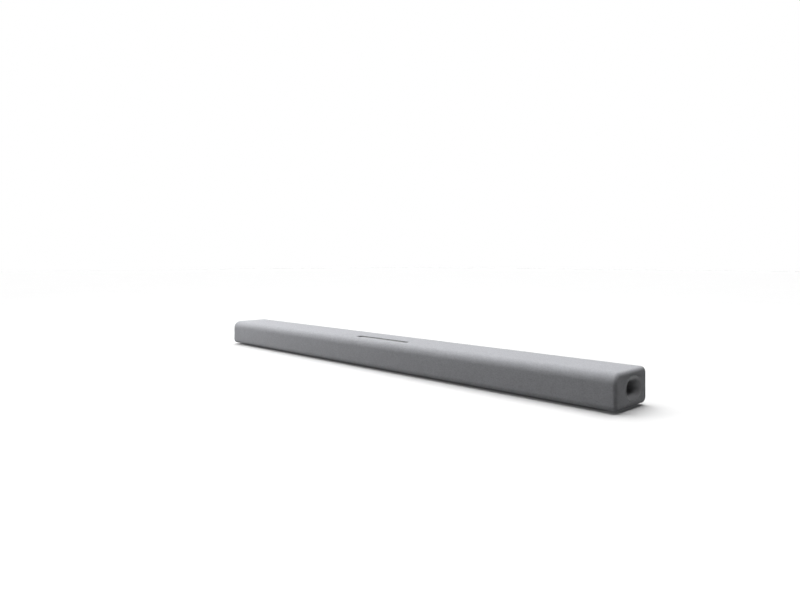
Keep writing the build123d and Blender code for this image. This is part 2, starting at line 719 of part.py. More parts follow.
def woofer_frame(plane):
    """Pressed frame of a woofer: flange, tapering basket with windows, and spider ledge."""
    flange = extrude(plane * RectangleRounded(FLANGE_LENGTH, FLANGE_WIDTH, FLANGE_ROUND), FLANGE_WALL)
    back = plane.offset(-BASKET_DEPTH)
    trim = 2 * BASKET_WALL
    outside = loft(
        [
            plane * SlotOverall(BASKET_LENGTH, BASKET_WIDTH),
            back * SlotOverall(BASKET_BACK_LENGTH, BASKET_BACK_WIDTH),
        ],
        ruled=True,
    )
    inside = loft(
        [
            plane * SlotOverall(BASKET_LENGTH - trim, BASKET_WIDTH - trim),
            back * SlotOverall(BASKET_BACK_LENGTH - trim, BASKET_BACK_WIDTH - trim),
        ],
        ruled=True,
    )
    floor = plane.offset(BASKET_BACK_WALL - BASKET_DEPTH)
    inside -= extrude(back * Rectangle(BASKET_LENGTH, BASKET_WIDTH), BASKET_BACK_WALL)
    frame = flange + outside - inside
    frame -= extrude(plane * SlotOverall(MOUTH_LENGTH, MOUTH_WIDTH), FLANGE_WALL)
    frame += extrude(floor * Circle(SPIDER_RADIUS), SPIDER_LEDGE)
    frame -= extrude(floor * Circle(SPIDER_RADIUS - SPIDER_RIM), SPIDER_LEDGE)
    frame -= extrude(back * Circle(GAP_RADIUS), BASKET_BACK_WALL)
    window_height = BASKET_DEPTH - BASKET_BACK_WALL - SPIDER_LEDGE - BAFFLE_WALL
    window_places = GridLocations(2 * BASKET_WINDOW, 0, 2, 1)
    window = Rectangle(BASKET_WINDOW, FLANGE_WIDTH)
    frame -= extrude(repeated(plane.offset(-BAFFLE_WALL), window_places, window), -window_height)
    screw_hole = Circle(SCREW_SHANK_RADIUS + SNUG)
    frame -= extrude(repeated(plane, woofer_screw_places(), screw_hole), FLANGE_WALL)
    return frame


def woofer_motor(plane):
    """Magnet between two steel plates, with a pole and an annular gap for the coil."""
    front = -BASKET_DEPTH
    plate = front - MOTOR_PLATE
    floor = plate - MAGNET_DEPTH
    back = floor - MOTOR_PLATE
    outline = Polyline(
        (0, front),
        (POLE_RADIUS, front),
        (POLE_RADIUS, floor),
        (MAGNET_BORE, floor),
        (MAGNET_BORE, plate),
        (GAP_RADIUS, plate),
        (GAP_RADIUS, front),
        (MOTOR_RADIUS, front),
        (MOTOR_RADIUS, plate),
        (MAGNET_RADIUS, plate),
        (MAGNET_RADIUS, floor),
        (MOTOR_RADIUS, floor),
        (MOTOR_RADIUS, back),
        (0, back),
        close=True,
    )
    return plane * revolve(Plane.XZ * make_face(outline), Axis.Z)


def woofer_cone(plane):
    """Paper cone with its dust cap and the coil former that runs in the motor's gap."""
    rim = plane.offset(FLANGE_WALL)
    neck = plane.offset(-CONE_DEPTH)
    trim = 2 * CONE_WALL
    outside = loft(
        [
            rim * SlotOverall(CONE_LENGTH, CONE_WIDTH),
            neck * SlotOverall(CONE_NECK_LENGTH, CONE_NECK_WIDTH),
        ],
        ruled=True,
    )
    inside = loft(
        [
            rim * SlotOverall(CONE_LENGTH - trim, CONE_WIDTH - trim),
            neck.offset(CONE_WALL) * SlotOverall(CONE_NECK_LENGTH - trim, CONE_NECK_WIDTH - trim),
        ],
        ruled=True,
    )
    cone = outside - inside
    former_length = BASKET_DEPTH + COIL_REACH - CONE_DEPTH
    former = extrude(neck * Circle(COIL_RADIUS), -former_length)
    former -= extrude(neck * Circle(COIL_RADIUS - COIL_WALL), -former_length)
    return cone + former + cap(neck.offset(CONE_WALL), DUST_CAP_RADIUS, DUST_CAP_RISE)


def woofer_surround(plane):
    """Rubber half roll between the cone and the frame, with a flat lip on each."""
    outer = ROLL_RADIUS + ROLL_WALL / 2
    inner = ROLL_RADIUS - ROLL_WALL / 2
    cone_lip = -ROLL_RADIUS - CONE_WALL
    frame_lip = ROLL_RADIUS + ROLL_LIP
    roll = make_face(
        [
            Polyline((-outer, ROLL_WALL), (cone_lip, ROLL_WALL), (cone_lip, 0), (-inner, 0)),
            ThreePointArc((-inner, 0), (0, inner), (inner, 0)),
            Polyline((inner, 0), (frame_lip, 0), (frame_lip, ROLL_WALL), (outer, ROLL_WALL)),
            ThreePointArc((outer, ROLL_WALL), (0, outer + ROLL_WALL / 2), (-outer, ROLL_WALL)),
        ]
    )
    face = plane.offset(FLANGE_WALL)
    width = 2 * ROLL_RADIUS
    path = (face * SlotOverall(MOUTH_LENGTH - width, MOUTH_WIDTH - width)).wire()
    start = path @ 0
    tangent = path % 0
    outward = (start - face.origin).normalized()
    outward = (outward - tangent * outward.dot(tangent)).normalized()
    return sweep(Plane(start, x_dir=outward, z_dir=outward.cross(face.z_dir)) * roll, path=path)


def woofer_spider(plane):
    """Corrugated cloth disc that centres the coil former on the frame's ledge."""
    seat = SPIDER_LEDGE + BASKET_BACK_WALL - BASKET_DEPTH
    bore = COIL_RADIUS + SEAT
    rim = SPIDER_RADIUS - SPIDER_RIM
    middle = (bore + rim) / 2
    top = seat + SPIDER_CLOTH
    outline = [
        Line((SPIDER_RADIUS, seat), (SPIDER_RADIUS, top)),
        Line((SPIDER_RADIUS, top), (rim, top)),
        ThreePointArc((rim, top), (middle, top + SPIDER_WAVE), (bore, top)),
        Line((bore, top), (bore, seat)),
        ThreePointArc((bore, seat), (middle, seat + SPIDER_WAVE), (rim, seat)),
        Line((rim, seat), (SPIDER_RADIUS, seat)),
    ]
    return plane * revolve(Plane.XZ * make_face(outline), Axis.Z)


def tweeter_faceplate(plane):
    """Round faceplate with a flared mouth in front of the dome."""
    plate = extrude(plane * Circle(FACEPLATE_RADIUS), FACEPLATE_WALL)
    plate -= extrude(plane * Circle(FACEPLATE_BORE), FACEPLATE_WALL)
    mouth = plate.edges().filter_by(GeomType.CIRCLE).filter_by(
        lambda edge: abs(edge.radius - FACEPLATE_BORE) < SNUG
    )
    front_edge = mouth.sort_by(Axis.Y)[0]
    plate = chamfer(front_edge, FACEPLATE_FLARE)
    screw_hole = Circle(SCREW_SHANK_RADIUS + SNUG)
    plate -= extrude(repeated(plane, tweeter_screw_places(), screw_hole), FACEPLATE_WALL)
    return plate


def tweeter_motor(plane):
    """Magnet of a tweeter, with the annular gap for its coil."""
    pole = TWEETER_COIL_RADIUS - TWEETER_COIL_WALL - TWEETER_COIL_GAP
    gap = TWEETER_COIL_RADIUS + TWEETER_COIL_GAP
    outline = Polyline(
        (0, 0),
        (pole, 0),
        (pole, -TWEETER_COIL_SLOT),
        (gap, -TWEETER_COIL_SLOT),
        (gap, 0),
        (TWEETER_MOTOR_RADIUS, 0),
        (TWEETER_MOTOR_RADIUS, -TWEETER_MOTOR_DEPTH),
        (0, -TWEETER_MOTOR_DEPTH),
        close=True,
    )
    return plane * revolve(Plane.XZ * make_face(outline), Axis.Z)


def tweeter_dome(plane):
    """Soft dome with its coil former."""
    rim = plane.offset(DOME_LIFT)
    wall = TWEETER_COIL_RADIUS - TWEETER_COIL_WALL
    dome = cap(rim, TWEETER_COIL_RADIUS, DOME_RISE) - cap(rim, wall, DOME_RISE - DOME_WALL)
    former = Circle(TWEETER_COIL_RADIUS) - Circle(wall)
    return dome + extrude(rim * former, -TWEETER_COIL_REACH - DOME_LIFT)


def tweeter_surround(plane):
    """Thin roll round the dome, seated on the motor's front plate inside the faceplate."""
    inner = TWEETER_COIL_RADIUS + DOME_EDGE_GAP
    outer = FACEPLATE_BORE - SNUG
    foot = outer - TWEETER_ROLL_LIP
    middle = (inner + foot) / 2
    top = DOME_LIFT + DOME_WALL
    crest = top + DOME_WALL
    outline = [
        Line((inner, DOME_LIFT), (inner, top)),
        ThreePointArc((inner, top), (middle, crest + DOME_WALL), (foot, DOME_WALL)),
        Polyline((foot, DOME_WALL), (outer, DOME_WALL), (outer, 0), (foot, 0)),
        ThreePointArc((foot, 0), (middle, crest), (inner, DOME_LIFT)),
    ]
    return plane * revolve(Plane.XZ * make_face(outline), Axis.Z)


def driver_screws():
    """Screws that hold the woofers and tweeters on the baffle."""
    screws = []
    for side in SIDES.values():
        for x in WOOFER_X:
            face = facing_front(side * x, BAFFLE - FLANGE_WALL, MID)
            screws += [screw(face * place) for place in woofer_screw_places()]
        face = facing_front(side * TWEETER_X, BAFFLE - FACEPLATE_WALL, MID)
        screws += [screw(face * place) for place in tweeter_screw_places()]
    return screws


def button_places():
    """Middle of each button along the bar."""
    first = STRIP_X - BUTTON_PITCH * (len(BUTTONS) - 1) / 2
    return [first + BUTTON_PITCH * index for index in range(len(BUTTONS))]


def button_outline(x, grow, z):
    """Outline of a button, grown all round, at a height."""
    shape = RectangleRounded(BUTTON_LENGTH + 2 * grow, BUTTON_WIDTH + 2 * grow, BUTTON_ROUND + grow)
    return Pos(x, STRIP_Y, z) * shape


def lens_outline(grow, z):
    """Outline of the light window near the strip's left tip."""
    x = STRIP_X - STRIP_LENGTH / 2 + LENS_FROM_TIP
    return Pos(x, STRIP_Y, z) * SlotOverall(LENS_LENGTH + 2 * grow, LENS_WIDTH + 2 * grow)


def post_places():
    """Posts that carry the control board, near both tips of the strip."""
    reach = STRIP_LENGTH / 2 - POST_FROM_END
    return [(STRIP_X - reach, STRIP_Y + POST_SIDE), (STRIP_X + reach, STRIP_Y + POST_SIDE)]


def control_bezel():
    """Sunk tray of the control strip, held from below by its flange."""
    tray = extrude(strip_outline(0, FLOOR_UNDER), STRIP_TOP - FLOOR_UNDER)
    tray -= extrude(strip_outline(-STRIP_WALL, FLOOR_TOP), STRIP_TOP - FLOOR_TOP)
    tray += extrude(strip_outline(STRIP_FLANGE, FLOOR_UNDER), HEIGHT - SHELL - FLOOR_UNDER)
    for x in button_places():
        tray -= extrude(button_outline(x, SEAT, FLOOR_UNDER), STRIP_FLOOR)
    tray -= extrude(lens_outline(SNUG, FLOOR_UNDER), STRIP_FLOOR)
    for x, y in post_places():
        tray += upright(x, y, CONTROL_BOARD_TOP, POST_RADIUS, FLOOR_UNDER - CONTROL_BOARD_TOP)
    return tray


def push_button(x):
    """Button cap with a skirt that keeps it in the bezel, and a stem over its switch."""
    cap = extrude(button_outline(x, 0, SKIRT_TOP), BUTTON_TOP - SKIRT_TOP)
    cap = fillet(cap.faces().sort_by(Axis.Z)[-1].edges(), BUTTON_EDGE)
    skirt = extrude(button_outline(x, BUTTON_SKIRT, SKIRT_UNDER), BUTTON_SKIRT_WALL)
    stem = upright(x, STRIP_Y, STEM_UNDER, BUTTON_STEM_RADIUS, BUTTON_STEM)
    return cap + skirt + stem


def control_board():
    """Board under the strip, with a switch below each button."""
    half_length = CONTROL_BOARD_LENGTH / 2
    half_width = CONTROL_BOARD_WIDTH / 2
    board = block(
        (STRIP_X - half_length, STRIP_X + half_length),
        (STRIP_Y - half_width, STRIP_Y + half_width),
        (CONTROL_BOARD_UNDER, CONTROL_BOARD_TOP),
    )
    for x in button_places():
        body = Pos(x, STRIP_Y, CONTROL_BOARD_TOP) * Rectangle(SWITCH_SIZE, SWITCH_SIZE)
        board += extrude(body, SWITCH_BODY)
        plunger_under = CONTROL_BOARD_TOP + SWITCH_BODY
        board += upright(x, STRIP_Y, plunger_under, SWITCH_PLUNGER_RADIUS, SWITCH_PLUNGER)
    return board


def status_lens():
    """Light window let into the strip from below."""
    lens = extrude(lens_outline(0, FLOOR_UNDER), FLOOR_TOP + LENS_PROUD - FLOOR_UNDER)
    return lens + extrude(lens_outline(LENS_LIP, FLOOR_UNDER), -LENS_LIP)


def circuit_board(x_range):
    """Bare board on its standoffs, between two places along the bar."""
    return block(x_range, (BOARD_FRONT_Y, BOARD_REAR_Y), (BOARD_UNDER, BOARD_TOP))


def main_board():
    """Signal board with the amplifier chip under the heat sink."""
    half = AMPLIFIER_CHIP / 2
    chip = block(
        (HEAT_SINK_X - half, HEAT_SINK_X + half),
        (HEAT_SINK_Y - half, HEAT_SINK_Y + half),
        (BOARD_TOP, BOARD_TOP + CHIP),
    )
    return circuit_board(MAIN_BOARD_X) + chip


def heat_sink():
    """Finned heat sink on the amplifier chip."""
    low = BOARD_TOP + CHIP
    half = HEAT_SINK_LENGTH / 2
    y_range = (HEAT_SINK_Y - HEAT_SINK_WIDTH / 2, HEAT_SINK_Y + HEAT_SINK_WIDTH / 2)
    sink = block((HEAT_SINK_X - half, HEAT_SINK_X + half), y_range, (low, low + HEAT_SINK_BASE))
    pitch = (HEAT_SINK_LENGTH - HEAT_SINK_FIN) / (HEAT_SINK_FINS - 1)
    for index in range(HEAT_SINK_FINS):
        x = HEAT_SINK_X - half + index * pitch
        sink += block((x, x + HEAT_SINK_FIN), y_range, (low, low + HEAT_SINK_HEIGHT))
    return sink


def wireless_module():
    """Small radio board with its shield can, on the main board."""
    half_length = MODULE_LENGTH / 2
    half_width = MODULE_WIDTH / 2
    can_low = BOARD_TOP + BOARD
    carrier = block(
        (MODULE_X - half_length, MODULE_X + half_length),
        (MODULE_Y - half_width, MODULE_Y + half_width),
        (BOARD_TOP, can_low),
    )
    can = block(
        (MODULE_X - half_length + BOARD, MODULE_X + half_width),
        (MODULE_Y - half_width + BOARD, MODULE_Y + half_width - BOARD),
        (can_low, can_low + MODULE_CAN),
    )
    return carrier + can


def rear_sockets():
    """Plug sockets on the rear edge of the main board, level with the recess floor."""
    front = JACK_FLOOR - SOCKET_DEPTH
    sockets = []
    back = front + SOCKET_WALL
    for place in (HDMI_SOCKET, OPTICAL_SOCKET, USB_SOCKET):
        shell = socket_hole(place, 0, front, JACK_FLOOR)
        sockets.append(shell - socket_hole(place, -SOCKET_WALL, back, JACK_FLOOR))
    x, length, height = AUX_SOCKET
    jack = socket_hole(AUX_SOCKET, 0, front, JACK_FLOOR)
    bore = lengthwise(x, back, BOARD_TOP + height / 2, AUX_BORE, SOCKET_DEPTH)
    sockets.append(jack - bore)
    return sockets


def power_board():
    """Mains power supply board."""
    return circuit_board(POWER_BOARD_X)


def power_transformer():
    """Ferrite transformer: a core frame round a wound bobbin."""
    half = TRANSFORMER_LENGTH / 2
    half_width = TRANSFORMER_WIDTH / 2
    top = BOARD_TOP + TRANSFORMER_HEIGHT
    half_core = half_width - TRANSFORMER_COIL
    core = block(
        (TRANSFORMER_X - half, TRANSFORMER_X + half),
        (TRANSFORMER_Y - half_core, TRANSFORMER_Y + half_core),
        (BOARD_TOP, top),
    )
    bobbin = block(
        (TRANSFORMER_X - half + TRANSFORMER_COIL, TRANSFORMER_X + half - TRANSFORMER_COIL),
        (TRANSFORMER_Y - half_width, TRANSFORMER_Y + half_width),
        (BOARD_TOP + TRANSFORMER_COIL, top - TRANSFORMER_COIL),
    )
    bobbin = fillet(bobbin.edges().filter_by(Axis.Z), TRANSFORMER_COIL / 2)
    return core + bobbin


def reservoir_capacitors():
    """Pair of upright electrolytic capacitors."""
    return [
        upright(CAPACITOR_X + offset, CAPACITOR_Y, BOARD_TOP, CAPACITOR_RADIUS, CAPACITOR_HEIGHT)
        for offset in (-CAPACITOR_PITCH / 2, CAPACITOR_PITCH / 2)
    ]


def ac_inlet():
    """Two-pin mains inlet in the power recess."""
    front = POWER_FLOOR - INLET_DEPTH
    middle = BOARD_TOP + INLET_HEIGHT / 2
    body = inlet_room(0, front, POWER_FLOOR)
    plane = facing_front(POWER_POCKET_X, POWER_FLOOR - INLET_MOUTH_DEPTH, middle)
    mouth = extrude(plane * SlotOverall(INLET_MOUTH_LENGTH, INLET_MOUTH_HEIGHT), -INLET_MOUTH_DEPTH)
    pins = repeated(plane, GridLocations(INLET_PIN_SPACING, 0, 2, 1), Circle(INLET_PIN_RADIUS))
    return body - mouth + extrude(pins, SOCKET_WALL - INLET_MOUTH_DEPTH)


def write(name, shape):
    """Save one piece under its node's name."""
    solid = Compound(children=shape) if isinstance(shape, list) else shape
    export_step(solid, f"parts/{name}.step")


def write_drivers():
    """Save every piece of the four woofers and the two tweeters."""
    for hand, side in SIDES.items():
        for rank, x in zip(("outer", "inner"), WOOFER_X):
            plane = facing_front(side * x, BAFFLE, MID)
            name = f"woofer_{hand}_{rank}"
            write(f"{name}_frame", woofer_frame(plane))
            write(f"{name}_motor", woofer_motor(plane))
            write(f"{name}_cone", woofer_cone(plane))
            write(f"{name}_surround", woofer_surround(plane))
            write(f"{name}_spider", woofer_spider(plane))
        plane = facing_front(side * TWEETER_X, BAFFLE, MID)
        write(f"tweeter_{hand}_faceplate", tweeter_faceplate(plane))
        write(f"tweeter_{hand}_motor", tweeter_motor(plane))
        write(f"tweeter_{hand}_dome", tweeter_dome(plane))
        write(f"tweeter_{hand}_surround", tweeter_surround(plane))


def main():
    """Build every piece of the bar and save it."""
    os.makedirs("parts", exist_ok=True)
    pieces = (
        fabric_cover, grille_shell, cabinet, cabinet_gasket, rear_cover, cover_screws, base_plate,
        rubber_feet, driver_screws, control_bezel, control_board, status_lens, main_board, heat_sink,
        wireless_module, rear_sockets, power_board, power_transformer, reservoir_capacitors, ac_inlet,
    )
    for piece in pieces:
        write(piece.__name__, piece())
    for hand, side in SIDES.items():
        write(f"grille_end_{hand}", grille_end(side))
        write(f"port_{hand}", bass_port(side))
    for name, x in zip(BUTTONS, button_places()):
        write(f"button_{name}", push_button(x))
    write_drivers()


main()
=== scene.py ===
"""Dress a cloth-wrapped soundbar on its CAD frame and set it in a pale studio."""
import logging
import math
from dataclasses import dataclass
from enum import Enum
from typing import ClassVar, Iterable, Sequence

import bmesh
import bpy
from mathutils import Matrix, Vector


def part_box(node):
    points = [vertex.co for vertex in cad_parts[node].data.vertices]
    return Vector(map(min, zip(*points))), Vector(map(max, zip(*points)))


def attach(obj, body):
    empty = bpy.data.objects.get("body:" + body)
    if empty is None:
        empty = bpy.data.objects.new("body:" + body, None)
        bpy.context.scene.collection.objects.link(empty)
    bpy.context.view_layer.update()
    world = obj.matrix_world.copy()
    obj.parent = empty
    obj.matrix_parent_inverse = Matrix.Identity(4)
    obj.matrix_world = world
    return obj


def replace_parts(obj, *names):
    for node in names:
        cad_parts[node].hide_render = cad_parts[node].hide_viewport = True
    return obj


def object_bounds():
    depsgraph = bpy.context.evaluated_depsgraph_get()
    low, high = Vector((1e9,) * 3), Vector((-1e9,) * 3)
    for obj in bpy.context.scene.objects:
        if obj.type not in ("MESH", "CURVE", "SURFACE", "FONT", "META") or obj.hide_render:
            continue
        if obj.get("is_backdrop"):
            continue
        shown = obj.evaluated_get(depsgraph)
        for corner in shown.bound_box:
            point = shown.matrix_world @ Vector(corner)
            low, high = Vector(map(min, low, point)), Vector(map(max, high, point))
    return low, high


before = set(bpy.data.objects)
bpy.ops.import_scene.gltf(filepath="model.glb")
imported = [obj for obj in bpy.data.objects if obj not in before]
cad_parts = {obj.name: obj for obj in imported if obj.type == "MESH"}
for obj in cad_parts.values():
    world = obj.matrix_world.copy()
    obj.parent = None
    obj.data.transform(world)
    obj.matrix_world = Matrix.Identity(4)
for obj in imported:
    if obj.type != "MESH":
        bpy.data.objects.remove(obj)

LOG = logging.getLogger("soundbar")
ROOT = "bar"
SIDES = {"left": -1, "right": 1}
TOWARD_REAR = Matrix.Rotation(-math.pi / 2, 4, "X")
ALONG_BAR = Matrix(((0, 0, 1, 0), (1, 0, 0, 0), (0, 1, 0, 0), (0, 0, 0, 1)))
ROUND_STEPS = 3
ROUND_PAST = math.radians(50)
Rgb = tuple[float, float, float]
Point = tuple[float, float, float]
Flat = tuple[float, float]
Mesh = bpy.types.Mesh
Socket = bpy.types.NodeSocket
Sockets = dict[str, Socket]
Source = Socket | float | Rgb
Sources = dict[str, Source]


class Graph:
    """Adds nodes to one node tree and wires them."""

    def __init__(self, tree: bpy.types.NodeTree) -> None:
        """Keep the tree that nodes are added to."""
        self.tree = tree

    def feed(self, socket: Socket, value: Source) -> None:
        """Link a socket, or set its own value.

        Args:
            socket: input to fill.
            value: another node's output, a number or a colour.
        """
        if isinstance(value, Socket):
            self.tree.links.new(value, socket)
        elif isinstance(value, tuple):
            socket.default_value = (*value, 1.0) if len(socket.default_value) == 4 else value
        else:
            socket.default_value = value

    def fill(self, node: bpy.types.Node, inputs: Sources) -> None:
        """Feed a node's sockets by name."""
        for name, value in inputs.items():
            self.feed(node.inputs[name], value)

    def add(self, kind: str, inputs: Sources | None = None, **settings: object) -> bpy.types.Node:
        """Add a node.

        Args:
            kind: node type without its "ShaderNode" start.
            inputs: values or links by socket name.
            settings: properties of the node.

        Returns:
            The new node.
        """
        node = self.tree.nodes.new("ShaderNode" + kind)
        for name, value in settings.items():
            setattr(node, name, value)
        self.fill(node, inputs or {})
        return node

    def math(self, operation: str, *values: Source, clamp: bool = False) -> Socket:
        """Add a math node.

        Args:
            operation: name of the operation.
            values: its numbers or links, in order.
            clamp: whether the result is kept between 0 and 1.

        Returns:
            The result's socket.
        """
        node = self.add("Math", operation=operation, use_clamp=clamp)
        for socket, value in zip(node.inputs, values):
            self.feed(socket, value)
        return node.outputs[0]

    def blend(self, factor: Source, first: Source, second: Source) -> Socket:
        """Mix two numbers: the first where the factor is 0, the second where it is 1."""
        return self.add("Mix", {"Factor": factor, "A": first, "B": second}).outputs[0]

    def tint(self, factor: Source, first: Source, second: Source, how: str = "MIX") -> Socket:
        """Mix two colours.

        Args:
            factor: 0 for the first, 1 for the second.
            first: colour or link.
            second: colour or link.
            how: blend type of the mix.

        Returns:
            The mixed colour's socket.
        """
        node = self.add("Mix", data_type="RGBA", blend_type=how)
        for index, value in ((0, factor), (6, first), (7, second)):
            self.feed(node.inputs[index], value)
        return node.outputs[2]

    def noise(self, vector: Source, scale: Source, detail: float = 3.0) -> Socket:
        """Noise at a place, as fine as its scale, with so many octaves."""
        return self.add("TexNoise", {"Vector": vector, "Scale": scale, "Detail": detail}).outputs[0]

    def place(self) -> Socket:
        """Position on the object, in metres."""
        return self.add("TexCoord").outputs["Object"]

    def split(self, vector: Source) -> list[Socket]:
        """The three parts of a vector."""
        return list(self.add("SeparateXYZ", {"Vector": vector}).outputs)

    def join(self, x: Source, y: Source, z: Source) -> Socket:
        """One vector from its three parts."""
        return self.add("CombineXYZ", {"X": x, "Y": y, "Z": z}).outputs[0]

    def normal(self) -> Socket:
        """Surface normal."""
        return self.add("NewGeometry").outputs["Normal"]

    def facet(self) -> Socket:
        """Normal of the flat face, without smoothing."""
        return self.add("NewGeometry").outputs["True Normal"]


class Effect:
    """Shader node group that several materials share."""

    name: ClassVar[str]
    takes: ClassVar[dict[str, str]]
    gives: ClassVar[dict[str, str]]

    def wire(self, graph: Graph, takes: Sockets) -> Sockets:
        """Fill the group.

        Args:
            graph: the group's tree.
            takes: the group's inputs by name.

        Returns:
            What feeds the group's outputs, by name.
        """
        raise NotImplementedError

    def tree(self) -> bpy.types.NodeTree:
        """Make the group's tree, the first time it is asked for.

        Returns:
            The tree.
        """
        tree = bpy.data.node_groups.get(self.name)
        if tree:
            return tree
        tree = bpy.data.node_groups.new(self.name, "ShaderNodeTree")
        for name, kind in self.takes.items():
            tree.interface.new_socket(name, in_out="INPUT", socket_type="NodeSocket" + kind)
        for name, kind in self.gives.items():
            tree.interface.new_socket(name, in_out="OUTPUT", socket_type="NodeSocket" + kind)
        source = tree.nodes.new("NodeGroupInput")
        sink = tree.nodes.new("NodeGroupOutput")
        made = self.wire(Graph(tree), {name: source.outputs[name] for name in self.takes})
        for name, socket in made.items():
            tree.links.new(socket, sink.inputs[name])
        return tree

    def use(self, graph: Graph, **inputs: Source) -> Sockets:
        """Put the group into a material.

        Args:
            graph: the material's tree.
            inputs: values or links by input name.

        Returns:
            The group's outputs by name.
        """
        node = graph.tree.nodes.new("ShaderNodeGroup")
        node.node_tree = self.tree()
        graph.fill(node, inputs)
        return {name: node.outputs[name] for name in self.gives}


@dataclass(frozen=True)
class WovenCloth(Effect):
    """Plain weave of flecked yarns that run along the bar and round its section.

    Shares are parts of the shade or of a facet's normal. The shade goes from 0 for the dark yarn to 1
    for the light one. Painted shade leaves only part of it between the yarns, and painted light on a
    yarn's top adds to it.
    """

    name = "woven_cloth"
    takes = {"Pitch": "Float", "Light": "Color", "Dark": "Color", "Fleck": "Float"}
    gives = {"Color": "Color", "Height": "Float"}
    front: float = -0.05
    top: float = 0.06
    end_share: float = 0.7
    level_share: float = 0.01
    tilt_steps: float = 10.0
    dip: float = 0.45
    seeds: Flat = (3.0, 8.0)
    fleck_draw: float = 0.14
    fleck_scale: float = 1.7
    fleck_share: float = 2.0
    mottle_scale: float = 130.0
    mottle_share: float = 0.35
    shade: float = 0.62
    # Painted shade between the yarns and painted light on their tops, as shares of the yarn tone.
    valley_painted_shade: float = 0.75
    crown_painted_light: float = 0.35

    def run(self, graph: Graph) -> tuple[Socket, Socket]:
        """Lay the cloth flat.

        Args:
            graph: the group's tree.

        Returns:
            Way along the bar, or across its end; and way round its section, or up its end.
        """
        x, y, z = graph.split(graph.place())
        across, lean, up = graph.split(graph.facet())
        at_end = graph.math("GREATER_THAN", graph.math("ABSOLUTE", across), self.end_share)
        tilt = graph.math("ROUND", graph.math("MULTIPLY", up, self.tilt_steps))
        fold = graph.math("SIGN", tilt)
        behind = graph.math("MULTIPLY", graph.math("SUBTRACT", y, self.front), fold)
        leans = graph.math("GREATER_THAN", graph.math("ABSOLUTE", lean), self.level_share)
        round_it = graph.math("ADD", graph.blend(leans, self.top, z), behind)
        return graph.blend(at_end, x, y), graph.blend(at_end, round_it, z)

    def wire(self, graph: Graph, takes: Sockets) -> Sockets:
        """Cross two sets of yarns, each flecked along its own length, and paint shade between them.

        Args:
            graph: the group's tree.
            takes: its inputs by name.

        Returns:
            What feeds its outputs, by name.
        """
        yarns = []
        for value in self.run(graph):
            count = graph.math("DIVIDE", value, takes["Pitch"])
            swell = graph.math("SINE", graph.math("MULTIPLY", graph.math("FRACT", count), math.pi))
            yarns.append((count, graph.math("FLOOR", count), swell))
        (a, a_yarn, a_swell), (b, b_yarn, b_swell) = yarns
        over = graph.math("FLOORED_MODULO", graph.math("ADD", a_yarn, b_yarn), 2.0)
        rest = 1.0 - self.dip
        warp = graph.math("MULTIPLY", a_swell, graph.math("MULTIPLY_ADD", b_swell, self.dip, rest))
        weft = graph.math("MULTIPLY", b_swell, graph.math("MULTIPLY_ADD", a_swell, self.dip, rest))
        height = graph.blend(over, weft, warp)
        drawn_a = graph.math("MULTIPLY", a, self.fleck_draw)
        drawn_b = graph.math("MULTIPLY", b, self.fleck_draw)
        warp_fleck = graph.noise(graph.join(a_yarn, drawn_b, self.seeds[0]), self.fleck_scale)
        weft_fleck = graph.noise(graph.join(drawn_a, b_yarn, self.seeds[1]), self.fleck_scale)
        fleck = graph.math("SUBTRACT", graph.blend(over, weft_fleck, warp_fleck), 0.5)
        mottle = graph.math("SUBTRACT", graph.noise(graph.place(), self.mottle_scale, 4.0), 0.5)
        flecked = graph.math("MULTIPLY", fleck, self.fleck_share)
        spread = graph.math("MULTIPLY_ADD", mottle, self.mottle_share, flecked)
        shade = graph.math("MULTIPLY_ADD", spread, takes["Fleck"], self.shade)
        # Painted shade and light: the yarn tone is darkened in the valleys and lightened on the crowns by
        # the weave's height.
        relief = graph.math("MULTIPLY_ADD", height, self.crown_painted_light, self.valley_painted_shade)
        lit = graph.math("MULTIPLY", shade, relief, clamp=True)
        return {"Color": graph.tint(lit, takes["Dark"], takes["Light"]), "Height": height}


@dataclass(frozen=True)
class MouldedGrain(Effect):
    """Spark-eroded grain of moulded plastic and rubber, with cloudy tone and dust on what faces up."""

    name = "moulded_grain"
    takes = {"Color": "Color", "Grain": "Float", "Cloud": "Float"}
    gives = {"Color": "Color", "Rough": "Float", "Height": "Float"}
    pit_share: float = 0.5
    speck_share: float = 0.25
    cloud_scale: float = 16.0
    cloud_rough: float = 0.22
    dust: Rgb = (0.42, 0.41, 0.39)
    dust_scale: float = 70.0
    dust_from: float = 0.45
    dust_share: float = 0.35
    dust_rough: float = 0.5

    def wire(self, graph: Graph, takes: Sockets) -> Sockets:
        """Lay fine pits over soft clouds of tone.

        Args:
            graph: the group's tree.
            takes: its inputs by name.

        Returns:
            What feeds its outputs, by name.
        """
        place = graph.place()
        fine = graph.noise(place, takes["Grain"], 4.0)
        pits = graph.add("TexVoronoi", {"Vector": place, "Scale": takes["Grain"]}).outputs["Distance"]
        height = graph.math("MULTIPLY_ADD", pits, self.pit_share, fine)
        cloud = graph.noise(place, self.cloud_scale, 5.0)
        tone = graph.math("MULTIPLY", graph.math("SUBTRACT", cloud, 0.5), takes["Cloud"])
        speck = graph.math("MULTIPLY_ADD", graph.math("SUBTRACT", fine, 0.5), self.speck_share, 1.0)
        gain = graph.math("ADD", graph.math("MULTIPLY", tone, 2.0), speck)
        grey = graph.join(gain, gain, gain)
        color = graph.tint(1.0, takes["Color"], grey, "MULTIPLY")
        upward = graph.math("MAXIMUM", graph.split(graph.normal())[2], 0.0)
        patch = graph.math("SUBTRACT", graph.noise(place, self.dust_scale), self.dust_from)
        dust = graph.math("MULTIPLY", upward, patch, clamp=True)
        color = graph.tint(graph.math("MULTIPLY", dust, self.dust_share), color, self.dust)
        dulled = graph.math("MULTIPLY", dust, self.dust_rough)
        rough = graph.math("MULTIPLY_ADD", cloud, self.cloud_rough, dulled)
        return {"Color": color, "Rough": rough, "Height": height}


